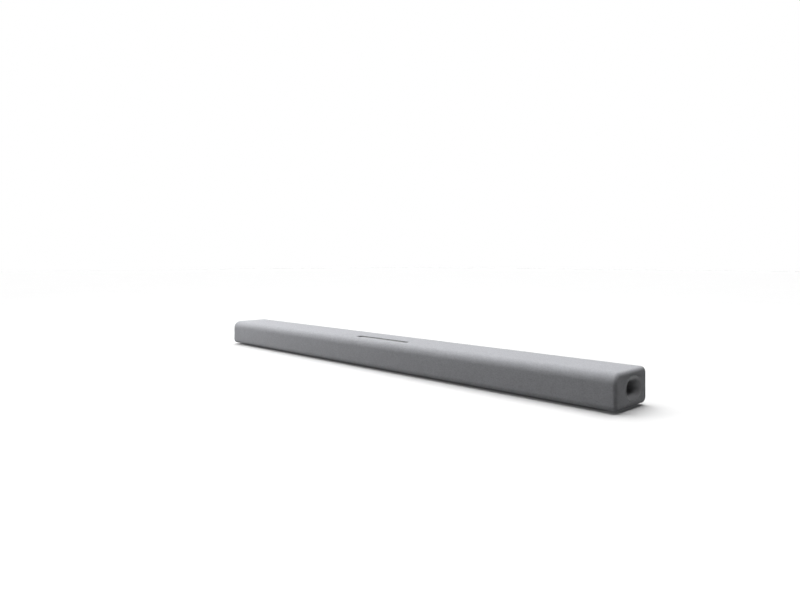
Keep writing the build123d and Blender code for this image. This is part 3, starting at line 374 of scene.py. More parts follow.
@dataclass(frozen=True)
class EdgeWear(Effect):
    """Mask of rubbed edges."""

    name = "edge_wear"
    takes = {"Width": "Float"}
    gives = {"Mask": "Float"}
    turn_gain: float = 3.5
    patch_scale: float = 220.0
    patch_gain: float = 2.2
    patch_shift: float = -0.6

    def wire(self, graph: Graph, takes: Sockets) -> Sockets:
        """Compare the normal with one rounded over the edge's width.

        Args:
            graph: the group's tree.
            takes: its inputs by name.

        Returns:
            What feeds its outputs, by name.
        """
        soft = graph.add("Bevel", {"Radius": takes["Width"]}, samples=4).outputs[0]
        facing = graph.add("VectorMath", operation="DOT_PRODUCT")
        graph.feed(facing.inputs[0], soft)
        graph.feed(facing.inputs[1], graph.normal())
        turn = graph.math("SUBTRACT", 1.0, facing.outputs["Value"])
        turned = graph.math("MULTIPLY", turn, self.turn_gain, clamp=True)
        cloud = graph.noise(graph.place(), self.patch_scale, 5.0)
        patch = graph.math("MULTIPLY_ADD", cloud, self.patch_gain, self.patch_shift, clamp=True)
        return {"Mask": graph.math("MULTIPLY", turned, patch)}


@dataclass(frozen=True)
class BrushedMetal(Effect):
    """Streaks of drawn or plated metal."""

    name = "brushed_metal"
    takes = {"Color": "Color", "Grain": "Float"}
    gives = {"Color": "Color", "Rough": "Float", "Height": "Float"}
    draw: float = 0.06
    tone: float = 0.66
    streak_tone: float = 0.35
    streak_rough: float = 0.2
    stain_scale: float = 90.0
    stain_tone: float = 0.3
    stain_rough: float = 0.15

    def wire(self, graph: Graph, takes: Sockets) -> Sockets:
        """Stretch noise along the bar and dull it with stains.

        Args:
            graph: the group's tree.
            takes: its inputs by name.

        Returns:
            What feeds its outputs, by name.
        """
        x, y, z = graph.split(graph.place())
        drawn = graph.join(graph.math("MULTIPLY", x, self.draw), y, z)
        streak = graph.noise(drawn, takes["Grain"], 5.0)
        stain = graph.noise(graph.place(), self.stain_scale, 4.0)
        stained = graph.math("MULTIPLY_ADD", stain, self.stain_tone, self.tone)
        gain = graph.math("MULTIPLY_ADD", streak, self.streak_tone, stained)
        color = graph.tint(1.0, takes["Color"], graph.join(gain, gain, gain), "MULTIPLY")
        dulled = graph.math("MULTIPLY", stain, self.stain_rough)
        rough = graph.math("MULTIPLY_ADD", streak, self.streak_rough, dulled)
        return {"Color": color, "Rough": rough, "Height": streak}


@dataclass(frozen=True)
class Finish:
    """Look of one kind of surface.

    Attributes:
        slot: material slot of the record, and the material's name.
        color: main colour, linear.
        rough: lowest roughness.
        depth: height of the relief, in metres.
        kind: what sets it apart from another finish of the same slot.
        relief: how strongly the relief shows.
    """

    relief: ClassVar[float] = 0.9
    slot: str
    color: Rgb
    rough: float = 0.5
    depth: float = 0.00004
    kind: str = ""

    def wire(self, graph: Graph, shader: bpy.types.Node) -> Socket:
        """Feed the shader's colour and roughness.

        Args:
            graph: the material's tree.
            shader: its shader.

        Returns:
            The relief's height.
        """
        raise NotImplementedError

    def material(self) -> bpy.types.Material:
        """Make the finish's material, the first time it is asked for.

        Returns:
            The material.
        """
        name = "finish_" + self.slot + self.kind
        material = bpy.data.materials.get(name)
        if material:
            return material
        material = bpy.data.materials.new(name)
        material.use_nodes = True
        shader = material.node_tree.nodes["Principled BSDF"]
        graph = Graph(material.node_tree)
        height = self.wire(graph, shader)
        inputs = {"Strength": self.relief, "Distance": self.depth, "Height": height}
        bump = graph.add("Bump", inputs)
        graph.fill(shader, {"Normal": bump.outputs[0]})
        return material


@dataclass(frozen=True)
class ClothFinish(Finish):
    """Woven cloth with light and dark yarns."""

    dark: Rgb = (0.1, 0.1, 0.1)
    pitch: float = 0.0008
    fleck: float = 0.5
    sheen: float = 0.25
    sheen_rough: float = 0.55
    specular: float = 0.15

    def wire(self, graph: Graph, shader: bpy.types.Node) -> Socket:
        """Feed the weave's colour, with its painted shade between the yarns and painted light on their
        tops, and set its fuzz.

        Args:
            graph: the material's tree.
            shader: its shader.

        Returns:
            The relief's height.
        """
        woven = WovenCloth().use(
            graph, Pitch=self.pitch, Light=self.color, Dark=self.dark, Fleck=self.fleck
        )
        graph.fill(shader, {"Base Color": woven["Color"], "Roughness": self.rough})
        graph.fill(shader, {"Sheen Weight": self.sheen, "Sheen Roughness": self.sheen_rough})
        graph.fill(shader, {"Specular IOR Level": self.specular})
        return woven["Height"]


@dataclass(frozen=True)
class MouldedFinish(Finish):
    """Moulded plastic, rubber, paper or foam."""

    grain: float = 1800.0
    cloud: float = 0.06
    wear: float = 0.35
    edge: float = 0.0005
    pale: Flat = (0.55, 0.16)
    coat: float = 0.0
    coat_rough: float = 0.12

    def wire(self, graph: Graph, shader: bpy.types.Node) -> Socket:
        """Feed grain, dust and pale rubbed edges.

        Args:
            graph: the material's tree.
            shader: its shader.

        Returns:
            The relief's height.
        """
        grain = MouldedGrain().use(graph, Color=self.color, Grain=self.grain, Cloud=self.cloud)
        worn = EdgeWear().use(graph, Width=self.edge)
        pale = tuple(self.pale[0] * part + self.pale[1] for part in self.color)
        mask = graph.math("MULTIPLY", worn["Mask"], self.wear)
        color = graph.tint(mask, grain["Color"], pale)
        rough = graph.math("ADD", grain["Rough"], self.rough, clamp=True)
        graph.fill(shader, {"Base Color": color, "Roughness": rough})
        graph.fill(shader, {"Coat Weight": self.coat, "Coat Roughness": self.coat_rough})
        return grain["Height"]


@dataclass(frozen=True)
class MetalFinish(Finish):
    """Plated, pressed or cast metal."""

    grain: float = 1500.0
    edge: float = 0.0003
    bright: Flat = (1.4, 0.05)

    def wire(self, graph: Graph, shader: bpy.types.Node) -> Socket:
        """Feed streaks and bright rubbed edges.

        Args:
            graph: the material's tree.
            shader: its shader.

        Returns:
            The relief's height.
        """
        metal = BrushedMetal().use(graph, Color=self.color, Grain=self.grain)
        worn = EdgeWear().use(graph, Width=self.edge)
        bright = tuple(min(1.0, self.bright[0] * part + self.bright[1]) for part in self.color)
        color = graph.tint(worn["Mask"], metal["Color"], bright)
        rough = graph.math("ADD", metal["Rough"], self.rough, clamp=True)
        graph.fill(shader, {"Base Color": color, "Roughness": rough, "Metallic": 1.0})
        return metal["Height"]


@dataclass(frozen=True)
class BoardFinish(Finish):
    """Circuit board with solder mask over its copper tracks."""

    track: Rgb = (0.03, 0.16, 0.06)
    solder: Rgb = (0.55, 0.5, 0.42)
    cells: float = 260.0
    track_from: float = 0.62
    pad_to: float = 0.14
    pad_metal: float = 0.9
    grain: float = 2600.0
    cloud: float = 0.05

    def wire(self, graph: Graph, shader: bpy.types.Node) -> Socket:
        """Draw tracks as the walls of a grid of cells, and pads at some of them.

        Args:
            graph: the material's tree.
            shader: its shader.

        Returns:
            The relief's height.
        """
        inputs = {"Vector": graph.place(), "Scale": self.cells}
        cells = graph.add("TexVoronoi", inputs, distance="MANHATTAN").outputs["Distance"]
        track = graph.math("GREATER_THAN", cells, self.track_from)
        pad = graph.math("LESS_THAN", cells, self.pad_to)
        mask = graph.tint(track, self.color, self.track)
        grain = MouldedGrain().use(graph, Color=mask, Grain=self.grain, Cloud=self.cloud)
        color = graph.tint(pad, grain["Color"], self.solder)
        rough = graph.math("ADD", grain["Rough"], self.rough, clamp=True)
        metal = graph.math("MULTIPLY", pad, self.pad_metal)
        graph.fill(shader, {"Base Color": color, "Roughness": rough, "Metallic": metal})
        return graph.math("ADD", track, pad)


class Look(Enum):
    """Finishes of the bar's surfaces."""

    FABRIC = ClothFinish("fabric", (0.79, 0.8, 0.84), 0.92, 0.00022, dark=(0.26, 0.265, 0.285))
    SPIDER = ClothFinish(
        "spider_cloth", (0.6, 0.42, 0.16), 0.85, 0.00015, dark=(0.32, 0.2, 0.06), pitch=0.0006
    )
    SILK = ClothFinish(
        "dome_silk", (0.05, 0.05, 0.055), 0.6, 0.00005, dark=(0.015, 0.015, 0.017), pitch=0.00025
    )
    GRILLE = MouldedFinish("grille_plastic", (0.03, 0.03, 0.032), 0.45)
    SHELL = MouldedFinish("shell_plastic", (0.1, 0.102, 0.108), 0.42, 0.00005, grain=1500.0)
    PORT = MouldedFinish("port_plastic", (0.4, 0.404, 0.42), 0.4, 0.00003, grain=2200.0, wear=0.25)
    CABINET = MouldedFinish("cabinet_plastic", (0.022, 0.022, 0.024), 0.5)
    BASE = MouldedFinish("base_plastic", (0.02, 0.02, 0.021), 0.5, 0.00006, grain=1300.0)
    STRIP = MouldedFinish("strip_plastic", (0.41, 0.413, 0.425), 0.4, 0.00003, grain=2400.0)
    BUTTON = MouldedFinish("button_rubber", (0.44, 0.444, 0.455), 0.55, 0.00002, grain=3000.0, wear=0.2)
    LENS = MouldedFinish("lens", (0.012, 0.012, 0.014), 0.1, 0.000004, cloud=0.02, wear=0.1, coat=0.8)
    FOOT = MouldedFinish("foot_rubber", (0.014, 0.014, 0.015), 0.7, 0.00012, grain=900.0, wear=0.5)
    FOAM = MouldedFinish("foam", (0.03, 0.03, 0.032), 0.85, 0.0003, grain=1100.0)
    CONE = MouldedFinish("cone", (0.025, 0.024, 0.023), 0.7, 0.00018, grain=700.0, cloud=0.12)
    ROLL = MouldedFinish("roll_rubber", (0.012, 0.012, 0.013), 0.35, 0.00002)
    FACEPLATE = MouldedFinish("faceplate", (0.02, 0.02, 0.022), 0.35)
    INLET = MouldedFinish("inlet_plastic", (0.016, 0.016, 0.017), 0.3, 0.00002)
    FERRITE = MouldedFinish("ferrite", (0.04, 0.038, 0.037), 0.55, 0.00008, grain=1200.0, wear=0.6)
    CAPACITOR = MouldedFinish("capacitor", (0.015, 0.02, 0.05), 0.22, 0.00001, coat=0.5)
    SCREW = MetalFinish("screw_steel", (0.16, 0.16, 0.165), 0.25)
    FRAME = MetalFinish("frame_steel", (0.24, 0.24, 0.25), 0.35)
    MAGNET = MetalFinish("magnet", (0.3, 0.3, 0.31), 0.35)
    ALUMINIUM = MetalFinish("aluminium", (0.62, 0.63, 0.65), 0.25, 0.00003, grain=2200.0)
    SOCKET = MetalFinish("socket_steel", (0.56, 0.55, 0.53), 0.18, 0.00001)
    CONTACT = MetalFinish("socket_steel", (0.78, 0.55, 0.2), 0.15, 0.00001, kind="_gilt")
    BOARD = BoardFinish("board", (0.012, 0.075, 0.028), 0.3)


def dress(node: str, look: Look) -> None:
    """Give a CAD node a finish.

    Args:
        node: its name.
        look: the finish.
    """
    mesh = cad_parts[node].data
    mesh.materials.clear()
    mesh.materials.append(look.value.material())
    LOG.info("%s: %s", node, look.value.slot)


class SubAssembly:
    """Pieces of the bar that belong together, and the finish of each of their CAD nodes."""

    nodes: ClassVar[dict[str, Look]]

    def dress(self) -> None:
        """Finish the nodes."""
        for node, look in self.nodes.items():
            dress(node, look)

    def build(self) -> None:
        """Add the pieces that the nodes don't show, where there are any."""


def placed(data: bpy.types.ID, name: str = "scratch") -> bpy.types.Object:
    """Add an object to the scene.

    Args:
        data: its mesh, curve, light or camera.
        name: its name.

    Returns:
        The object.
    """
    obj = bpy.data.objects.new(name, data)
    bpy.context.scene.collection.objects.link(obj)
    return obj


def piece(name: str, mesh: Mesh, look: Look, body: str = ROOT, sharp: float = 35.0) -> bpy.types.Object:
    """Put a modelled piece into the scene.

    Args:
        name: the piece's name.
        mesh: its mesh, in the row frame.
        look: its finish.
        body: CAD body that it rides on.
        sharp: angle in degrees past which an edge stays sharp.

    Returns:
        The piece.
    """
    obj = placed(mesh, name)
    mesh.materials.clear()
    mesh.materials.append(look.value.material())
    mesh.shade_smooth()
    mesh.set_sharp_from_angle(angle=math.radians(sharp))
    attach(obj, body)
    LOG.info("%s: %s on %s", name, look.value.slot, body)
    return obj


def settled(obj: bpy.types.Object, *helpers: bpy.types.Object) -> Mesh:
    """Apply a scratch object's modifiers, and remove it.

    Args:
        obj: the scratch object.
        helpers: more objects to remove.

    Returns:
        The finished mesh.
    """
    graph = bpy.context.evaluated_depsgraph_get()
    mesh = bpy.data.meshes.new_from_object(obj.evaluated_get(graph))
    for used in (obj, *helpers):
        bpy.data.objects.remove(used)
    return mesh


def to_mesh(bm: bmesh.types.BMesh) -> Mesh:
    """Turn a loose mesh's normals outward and keep it.

    Args:
        bm: the loose mesh, which is freed.

    Returns:
        The kept mesh.
    """
    bmesh.ops.recalc_face_normals(bm, faces=bm.faces)
    mesh = bpy.data.meshes.new("piece")
    bm.to_mesh(mesh)
    bm.free()
    return mesh


def rounded(size: Flat, radius: float, steps: int = 10) -> list[Flat]:
    """Outline of a rectangle with rounded corners, about its middle.

    Args:
        size: width and height.
        radius: of the corners.
        steps: edges per corner.

    Returns:
        The outline's points.
    """
    points = []
    for quarter in range(4):
        for step in range(steps + 1):
            angle = math.pi / 2 * (quarter + step / steps)
            x = math.copysign(size[0] / 2 - radius, math.cos(math.pi / 4 + quarter * math.pi / 2))
            y = math.copysign(size[1] / 2 - radius, math.sin(math.pi / 4 + quarter * math.pi / 2))
            points.append((x + radius * math.cos(angle), y + radius * math.sin(angle)))
    return points


def prism(outline: Sequence[Flat], depth: float, where: Matrix) -> Mesh:
    """Straight solid on an outline.

    Args:
        outline: its points.
        depth: its length, along its own Z from the outline's plane.
        where: the plane's place and turn.

    Returns:
        The solid's mesh.
    """
    bm = bmesh.new()
    rings = [[bm.verts.new(where @ Vector((x, y, z))) for x, y in outline] for z in (0.0, depth)]
    count = len(outline)
    for i in range(count):
        bm.faces.new((rings[0][i], rings[0][(i + 1) % count], rings[1][(i + 1) % count], rings[1][i]))
    bm.faces.new(rings[0])
    bm.faces.new(rings[1])
    return to_mesh(bm)


def peg(radius: float, length: float, where: Matrix) -> Mesh:
    """Round solid, along its own Z from its place."""
    return prism(rounded((2 * radius, 2 * radius), radius), length, where)


def facing_rear(place: Point) -> Matrix:
    """Place whose own Z points to the bar's rear."""
    return Matrix.Translation(place) @ TOWARD_REAR


def joined(meshes: Iterable[Mesh]) -> Mesh:
    """Join meshes.

    Args:
        meshes: what is joined.

    Returns:
        One mesh of them all.
    """
    bm = bmesh.new()
    for mesh in meshes:
        bm.from_mesh(mesh)
    return to_mesh(bm)


def carved(mesh: Mesh, cutters: Sequence[Mesh], bevel: float, wall: float = 0.0) -> Mesh:
    """Cut openings in a mesh and round every sharp edge.

    Args:
        mesh: what is cut.
        cutters: solids that are taken away.
        bevel: radius of the rounded edges.
        wall: thickness to give an open skin first, inwards.

    Returns:
        The finished mesh.
    """
    obj = placed(mesh)
    if wall:
        skin = obj.modifiers.new("wall", "SOLIDIFY")
        skin.thickness = wall
        skin.offset = -1.0
        skin.use_even_offset = True
    helpers = [placed(cutter) for cutter in cutters]
    for helper in helpers:
        cut = obj.modifiers.new("cut", "BOOLEAN")
        cut.operation = "DIFFERENCE"
        cut.solver = "EXACT"
        cut.object = helper
    edge = obj.modifiers.new("edge", "BEVEL")
    edge.width = bevel
    edge.segments = ROUND_STEPS
    edge.limit_method = "ANGLE"
    edge.angle_limit = ROUND_PAST
    return settled(obj, *helpers)


def beads(lines: Iterable[Sequence[Flat]], radius: float, middle: Vector) -> Mesh:
    """Raised rounded lines on a level face.

    Args:
        lines: points of each line in millimetres about the middle.
        radius: of the bead, in metres.
        middle: where the sign stands.

    Returns:
        The beads' mesh.
    """
    curve = bpy.data.curves.new("beads", "CURVE")
    curve.dimensions = "3D"
    curve.bevel_depth = radius
    curve.bevel_resolution = ROUND_STEPS
    curve.use_fill_caps = True
    for line in lines:
        spline = curve.splines.new("POLY")
        spline.points.add(len(line) - 1)
        for point, (x, y) in zip(spline.points, line):
            point.co = (middle.x + x / 1000, middle.y + y / 1000, middle.z, 1.0)
    return settled(placed(curve))


def arc(radius: float, start: float, end: float, middle: Flat = (0.0, 0.0), steps: int = 24) -> list[Flat]:
    """Points of an arc, in degrees anticlockwise."""
    angles = [math.radians(start + (end - start) * step / steps) for step in range(steps + 1)]
    return [(middle[0] + radius * math.cos(a), middle[1] + radius * math.sin(a)) for a in angles]


class Sign(Enum):
    """Plain raised signs of the five buttons, by node."""

    button_power = (arc(2.1, 125, 415), [(0.0, 0.7), (0.0, 2.9)])
    button_source = (
        [(0.2, 2.3), (2.8, 2.3), (2.8, -2.3), (0.2, -2.3)],
        [(-3.2, 0.0), (1.1, 0.0)],
        [(-0.3, 1.2), (1.1, 0.0), (-0.3, -1.2)],
    )
    button_volume_down = ([(-2.2, 0.0), (2.2, 0.0)],)
    button_volume_up = ([(-2.2, 0.0), (2.2, 0.0)], [(0.0, -2.2), (0.0, 2.2)])
    button_pairing = (
        arc(0.25, 0, 360, (-2.0, 0.0)),
        arc(2.0, -48, 48, (-2.0, 0.0)),
        arc(3.8, -48, 48, (-2.0, 0.0)),
    )


@dataclass
class ClothWrap(SubAssembly):
    """Cloth stretched over the shell, with openings for the strip, the ports and the underside."""

    nodes = {"grille_" + part: Look.GRILLE for part in ("shell", "end_left", "end_right")}
    depth: float = 0.1
    front_top: float = 0.017
    front_bottom: float = 0.009
    rear: float = 0.01
    end: float = 0.006
    cloth: float = 0.0008
    gap: float = 0.0004
    strip: Flat = (0.15, 0.018)
    strip_round: float = 0.008
    rim: Flat = (0.051, 0.037)
    base_round: float = 0.01
    steps: int = 12
    stations: int = 19
    turned_edge: float = 0.0003
    reach: float = 0.005
    base_reach: float = 0.003

    def outline(self, inset: float) -> list[Flat]:
        """Draw the body's section.

        Args:
            inset: how far it is drawn in.

        Returns:
            Its points across the bar and up, from the rear top corner forwards.
        """
        low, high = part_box("fabric_cover")
        rear, front = low.y + self.depth - inset, low.y + inset
        top, bottom = high.z - inset, low.z + inset
        corners = (
            (rear, top, self.rear, -1, -1),
            (front, top, self.front_top, 1, -1),
            (front, bottom, self.front_bottom, 1, 1),
            (rear, bottom, self.rear, -1, 1),
        )
        points = []
        for quarter, (y, z, radius, y_side, z_side) in enumerate(corners):
            radius -= inset
            for step in range(self.steps + 1):
                angle = math.pi / 2 * (quarter + step / self.steps)
                y_at = y + y_side * radius + radius * math.cos(angle)
                z_at = z + z_side * radius + radius * math.sin(angle)
                points.append((y_at, z_at))
        return points

    def rings(self) -> list[Flat]:
        """Space the skin's rings, close together round the ends.

        Returns:
            Place along the bar and inset of each ring.
        """
        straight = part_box("fabric_cover")[1].x - self.end
        turn = [math.pi / 2 * step / self.steps for step in range(self.steps + 1)]
        right = [(straight + self.end * math.sin(t), self.end * (1 - math.cos(t))) for t in turn]
        middle = [straight * (2 * i / (self.stations - 1) - 1) for i in range(1, self.stations - 1)]
        left = [(-x, inset) for x, inset in reversed(right)]
        return left + [(x, 0.0) for x in middle] + right

    def skin(self) -> Mesh:
        """Stretch the cloth's outer face over the rings.

        Returns:
            Its mesh, open at the seam.
        """
        bm = bmesh.new()
        rings = [
            [bm.verts.new((x, y, z)) for y, z in self.outline(inset)] for x, inset in self.rings()
        ]
        for a, b in zip(rings, rings[1:]):
            for i in range(len(a)):
                j = (i + 1) % len(a)
                bm.faces.new((a[i], a[j], b[j], b[i]))
        bm.faces.new(rings[0])
        bm.faces.new(rings[-1])
        bmesh.ops.recalc_face_normals(bm, faces=bm.faces)
        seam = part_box("fabric_cover")[1].y
        everything = bm.verts[:] + bm.edges[:] + bm.faces[:]
        bmesh.ops.bisect_plane(
            bm, geom=everything, plane_co=(0, seam, 0), plane_no=(0, 1, 0), clear_outer=True
        )
        mesh = bpy.data.meshes.new("skin")
        bm.to_mesh(mesh)
        bm.free()
        return mesh

    def openings(self) -> list[Mesh]:
        """Shape what is cut out of the cloth.

        Returns:
            Solids of the strip's, the underside's and the ports' openings.
        """
        low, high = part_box("fabric_cover")
        grow = 2 * self.gap
        bezel = sum(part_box("control_bezel"), Vector()) / 2
        top = Matrix.Translation((bezel.x, bezel.y, high.z - self.reach))
        hole = rounded((self.strip[0] + grow, self.strip[1] + grow), self.strip_round + self.gap)
        cutters = [prism(hole, 2 * self.reach, top)]
        base_low, base_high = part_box("base_plate")
        front = base_low.y - self.gap
        length = 2 * (high.y - front)
        hole = rounded((base_high.x - base_low.x + grow, length), self.base_round + self.gap)
        under = Matrix.Translation((0, high.y, low.z - self.reach))
        cutters.append(prism(hole, self.reach + self.base_reach, under))
        for side, sign in SIDES.items():
            middle = sum(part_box("port_" + side), Vector()) / 2
            place = Matrix.Translation((sign * high.x - self.reach, middle.y, middle.z))
            hole = rounded((self.rim[0] + grow, self.rim[1] + grow), self.rim[1] / 2 + self.gap)
            cutters.append(prism(hole, 2 * self.reach, place @ ALONG_BAR))
        return cutters

    def build(self) -> None:
        mesh = carved(self.skin(), self.openings(), self.turned_edge, self.cloth)
        wrap = piece("fabric_wrap", mesh, Look.FABRIC)
        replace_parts(wrap, "fabric_cover")


@dataclass
class ControlStrip(SubAssembly):
    """Sunk strip on the top, with five rubber buttons, their signs and a light window."""

    nodes = {
        "control_bezel": Look.STRIP,
        "status_lens": Look.LENS,
        "control_board": Look.BOARD,
        **{sign.name: Look.BUTTON for sign in Sign},
    }
    bead: float = 0.00032
    sunk: float = 0.0001
    sharp: float = 60.0

    def build(self) -> None:
        """Raise each button's sign on its cap."""
        for sign in Sign:
            low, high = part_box(sign.name)
            middle = (low + high) / 2
            middle.z = high.z - self.sunk
            mesh = beads(sign.value, self.bead, middle)
            piece(sign.name + "_sign", mesh, Look.STRIP, sign.name, self.sharp)


@dataclass(frozen=True)
class Tongue:
    """Contact tongue of a plug socket.

    Attributes:
        x: its middle along the bar.
        z: its middle height.
        size: its width and thickness.
        length: how far it stands out from the socket's back.
        contacts: how many strips lie on a face.
        pitch: from one strip to the next.
        faces: 1 for strips on its top, -1 for its underside.
        corner: radius of its corners.
        edge: radius of its rounded edges.
        strip: a strip's share of the pitch in width, and of the tongue in length.
        strip_thick: a strip's thickness.
        strip_corner: radius of a strip's corners.
    """

    x: float
    z: float
    size: Flat
    length: float
    contacts: int
    pitch: float
    faces: tuple[int, ...]
    corner: float = 0.0003
    edge: float = 0.00025
    strip: Flat = (0.5, 0.9)
    strip_thick: float = 0.0002
    strip_corner: float = 0.00008

    def blade(self, back: float) -> Mesh:
        """Rounded plastic blade from a plane at the socket's back."""
        outline = rounded(self.size, self.corner, 3)
        return carved(prism(outline, self.length, facing_rear((self.x, back, self.z))), [], self.edge)

    def strips(self, back: float) -> list[Mesh]:
        """Lay spring strips along the blade's faces.

        Args:
            back: plane at the socket's back.

        Returns:
            The strips.
        """
        outline = rounded((self.pitch * self.strip[0], self.strip_thick), self.strip_corner, 2)
        made = []
        for face in self.faces:
            z = self.z + face * self.size[1] / 2
            for index in range(self.contacts):
                x = self.x + self.pitch * (index - (self.contacts - 1) / 2)
                made.append(prism(outline, self.length * self.strip[1], facing_rear((x, back, z))))
        return made


@dataclass(frozen=True)
class Shutter:
    """Flap in the optical socket, placed by its back, with a dimple for the plug's tip."""

    place: Point = (-0.07, 0.0205, 0.029)
    size: Flat = (0.0082, 0.0082)
    corner: float = 0.0008
    thick: float = 0.0009
    dimple: Flat = (0.0044, 0.0044)
    dimple_corner: float = 0.0014
    floor: float = 0.0005
    edge: float = 0.0002

    def mesh(self) -> Mesh:
        """Cut the dimple into the flap.

        Returns:
            The flap.
        """
        back = facing_rear(self.place)
        flap = prism(rounded(self.size, self.corner, 4), self.thick, back)
        floor = back @ Matrix.Translation((0, 0, self.floor))
        hole = prism(rounded(self.dimple, self.dimple_corner, 4), self.thick, floor)
        return carved(flap, [hole], self.edge)


@dataclass(frozen=True)
class JackRing:
    """Gilt ring in the mouth of the round socket, placed by its back."""

    place: Point = (-0.025, 0.0238, 0.0285)
    radius: float = 0.0026
    bore: float = 0.0018
    thick: float = 0.0007
    edge: float = 0.00015

    def mesh(self) -> Mesh:
        """Bore the ring through.

        Returns:
            The ring.
        """
        back = facing_rear(self.place)
        start = back @ Matrix.Translation((0, 0, -self.thick))
        bore = peg(self.bore, 3 * self.thick, start)
        return carved(peg(self.radius, self.thick, back), [bore], self.edge)


@dataclass(frozen=True)
class CoverScrew:
    """Cross-recessed screw.

    Attributes:
        head: radius and height of its head.
        shank: radius and length of its shank.
        recess: length and width of each slot of the cross.
        recess_depth: depth of the cross.
        recess_corner: radius of the slots' corners.
        edge: radius of its rounded edges.
    """

    head: Flat = (0.0028, 0.002)
    shank: Flat = (0.0014, 0.01)
    recess: Flat = (0.0031, 0.0008)
    recess_depth: float = 0.0012
    recess_corner: float = 0.0003
    edge: float = 0.00035

    def mesh(self) -> Mesh:
        """Join the recessed head and the shank.

        Returns:
            The screw, along its own -Z from its head's top.
        """
        radius, height = self.head
        floor = Matrix.Translation((0, 0, -self.recess_depth))
        cross = [
            prism(rounded(slot, self.recess_corner, 3), 2 * self.recess_depth, floor)
            for slot in (self.recess, self.recess[::-1])
        ]
        head = carved(peg(radius, -height, Matrix()), cross, self.edge)
        radius, length = self.shank
        return joined([head, peg(radius, -length, Matrix.Translation((0, 0, -height)))])


@dataclass
class RearHousing(SubAssembly):
    """Rear cover with its screws, gasket, plug sockets and mains inlet."""

    nodes = {
        "rear_cover": Look.SHELL,
        "cabinet_gasket": Look.FOAM,
        "rear_sockets": Look.SOCKET,
        "ac_inlet": Look.INLET,
    }
    rear: float = 0.05
    screw: CoverScrew = CoverScrew()
    screw_sink: float = 0.0012
    screw_turn: float = 0.7
    columns: tuple[float, ...] = (-0.445, -0.195, 0.195, 0.445)
    rows: tuple[float, ...] = (0.0175, 0.046)
    tongue_back: float = 0.0126
    tongues: tuple[Tongue, ...] = (
        Tongue(-0.094, 0.027, (0.0105, 0.0011), 0.0095, 9, 0.001, (1, -1)),
        Tongue(-0.048, 0.0289, (0.0112, 0.0019), 0.0098, 4, 0.0025, (-1,)),
    )
    shutter: Shutter = Shutter()
    ring: JackRing = JackRing()
    pins: tuple[float, ...] = (0.081, 0.089)
    pin_place: Flat = (0.0181, 0.0315)
    pin_radius: float = 0.00124
    pin_length: float = 0.0114
    pin_edge: float = 0.0006

    def screws(self) -> None:
        """Drive the screws, each turned a little further than the one before."""
        made = []
        for index, (x, z) in enumerate((x, z) for x in self.columns for z in self.rows):
            mesh = self.screw.mesh()
            place = facing_rear((x, self.rear - self.screw_sink, z))
            mesh.transform(place @ Matrix.Rotation(self.screw_turn * index, 4, "Z"))
            made.append(mesh)
        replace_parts(piece("cover_screw_set", joined(made), Look.SCREW), "cover_screws")

    def sockets(self) -> None:
        """Fill the plug sockets: contact tongues, a shutter and a gilt ring."""
        back = self.tongue_back
        piece("socket_tongues", joined(tongue.blade(back) for tongue in self.tongues), Look.INLET)
        strips = [strip for tongue in self.tongues for strip in tongue.strips(back)]
        piece("socket_contacts", joined(strips), Look.CONTACT)
        piece("optical_shutter", self.shutter.mesh(), Look.INLET)
        piece("jack_ring", self.ring.mesh(), Look.CONTACT)

    def inlet(self) -> None:
        """Sleeve the inlet's pins with rounded metal."""
        pins = []
        for x in self.pins:
            pin = peg(self.pin_radius, self.pin_length, facing_rear((x, *self.pin_place)))
            pins.append(carved(pin, [], self.pin_edge))
        piece("inlet_pins", joined(pins), Look.SOCKET)

    def build(self) -> None:
        """Make the screws, the sockets' contacts and the inlet's pins."""
        self.screws()
        self.sockets()
        self.inlet()


@dataclass
class Underside(SubAssembly):
    """Base plate and its rubber feet."""

    nodes = {"base_plate": Look.BASE, "rubber_feet": Look.FOOT}


@dataclass
class Acoustics(SubAssembly):
    """Cabinet, bass ports, woofers and tweeters."""

    nodes = {"cabinet": Look.CABINET, "driver_screws": Look.SCREW}
    woofer: ClassVar[dict[str, Look]] = {
        "frame": Look.FRAME,
        "motor": Look.MAGNET,
        "cone": Look.CONE,
        "surround": Look.ROLL,
        "spider": Look.SPIDER,
    }
    tweeter: ClassVar[dict[str, Look]] = {
        "faceplate": Look.FACEPLATE,
        "motor": Look.MAGNET,
        "dome": Look.SILK,
        "surround": Look.ROLL,
    }

    def dress(self) -> None:
        """Finish the cabinet, the ports and every driver."""
        super().dress()
        for side in SIDES:
            dress("port_" + side, Look.PORT)
            for part, look in self.tweeter.items():
                dress(f"tweeter_{side}_{part}", look)
            for rank in ("outer", "inner"):
                for part, look in self.woofer.items():
                    dress(f"woofer_{side}_{rank}_{part}", look)


@dataclass
class Electronics(SubAssembly):
    """Boards and what stands on them."""

    nodes = {
        "main_board": Look.BOARD,
        "power_board": Look.BOARD,
        "heat_sink": Look.ALUMINIUM,
        "wireless_module": Look.SOCKET,
        "power_transformer": Look.FERRITE,
        "reservoir_capacitors": Look.CAPACITOR,
    }


class LampKind(Enum):
    """Kinds of studio light."""

    DOME = "SUN"
    PANEL = "AREA"


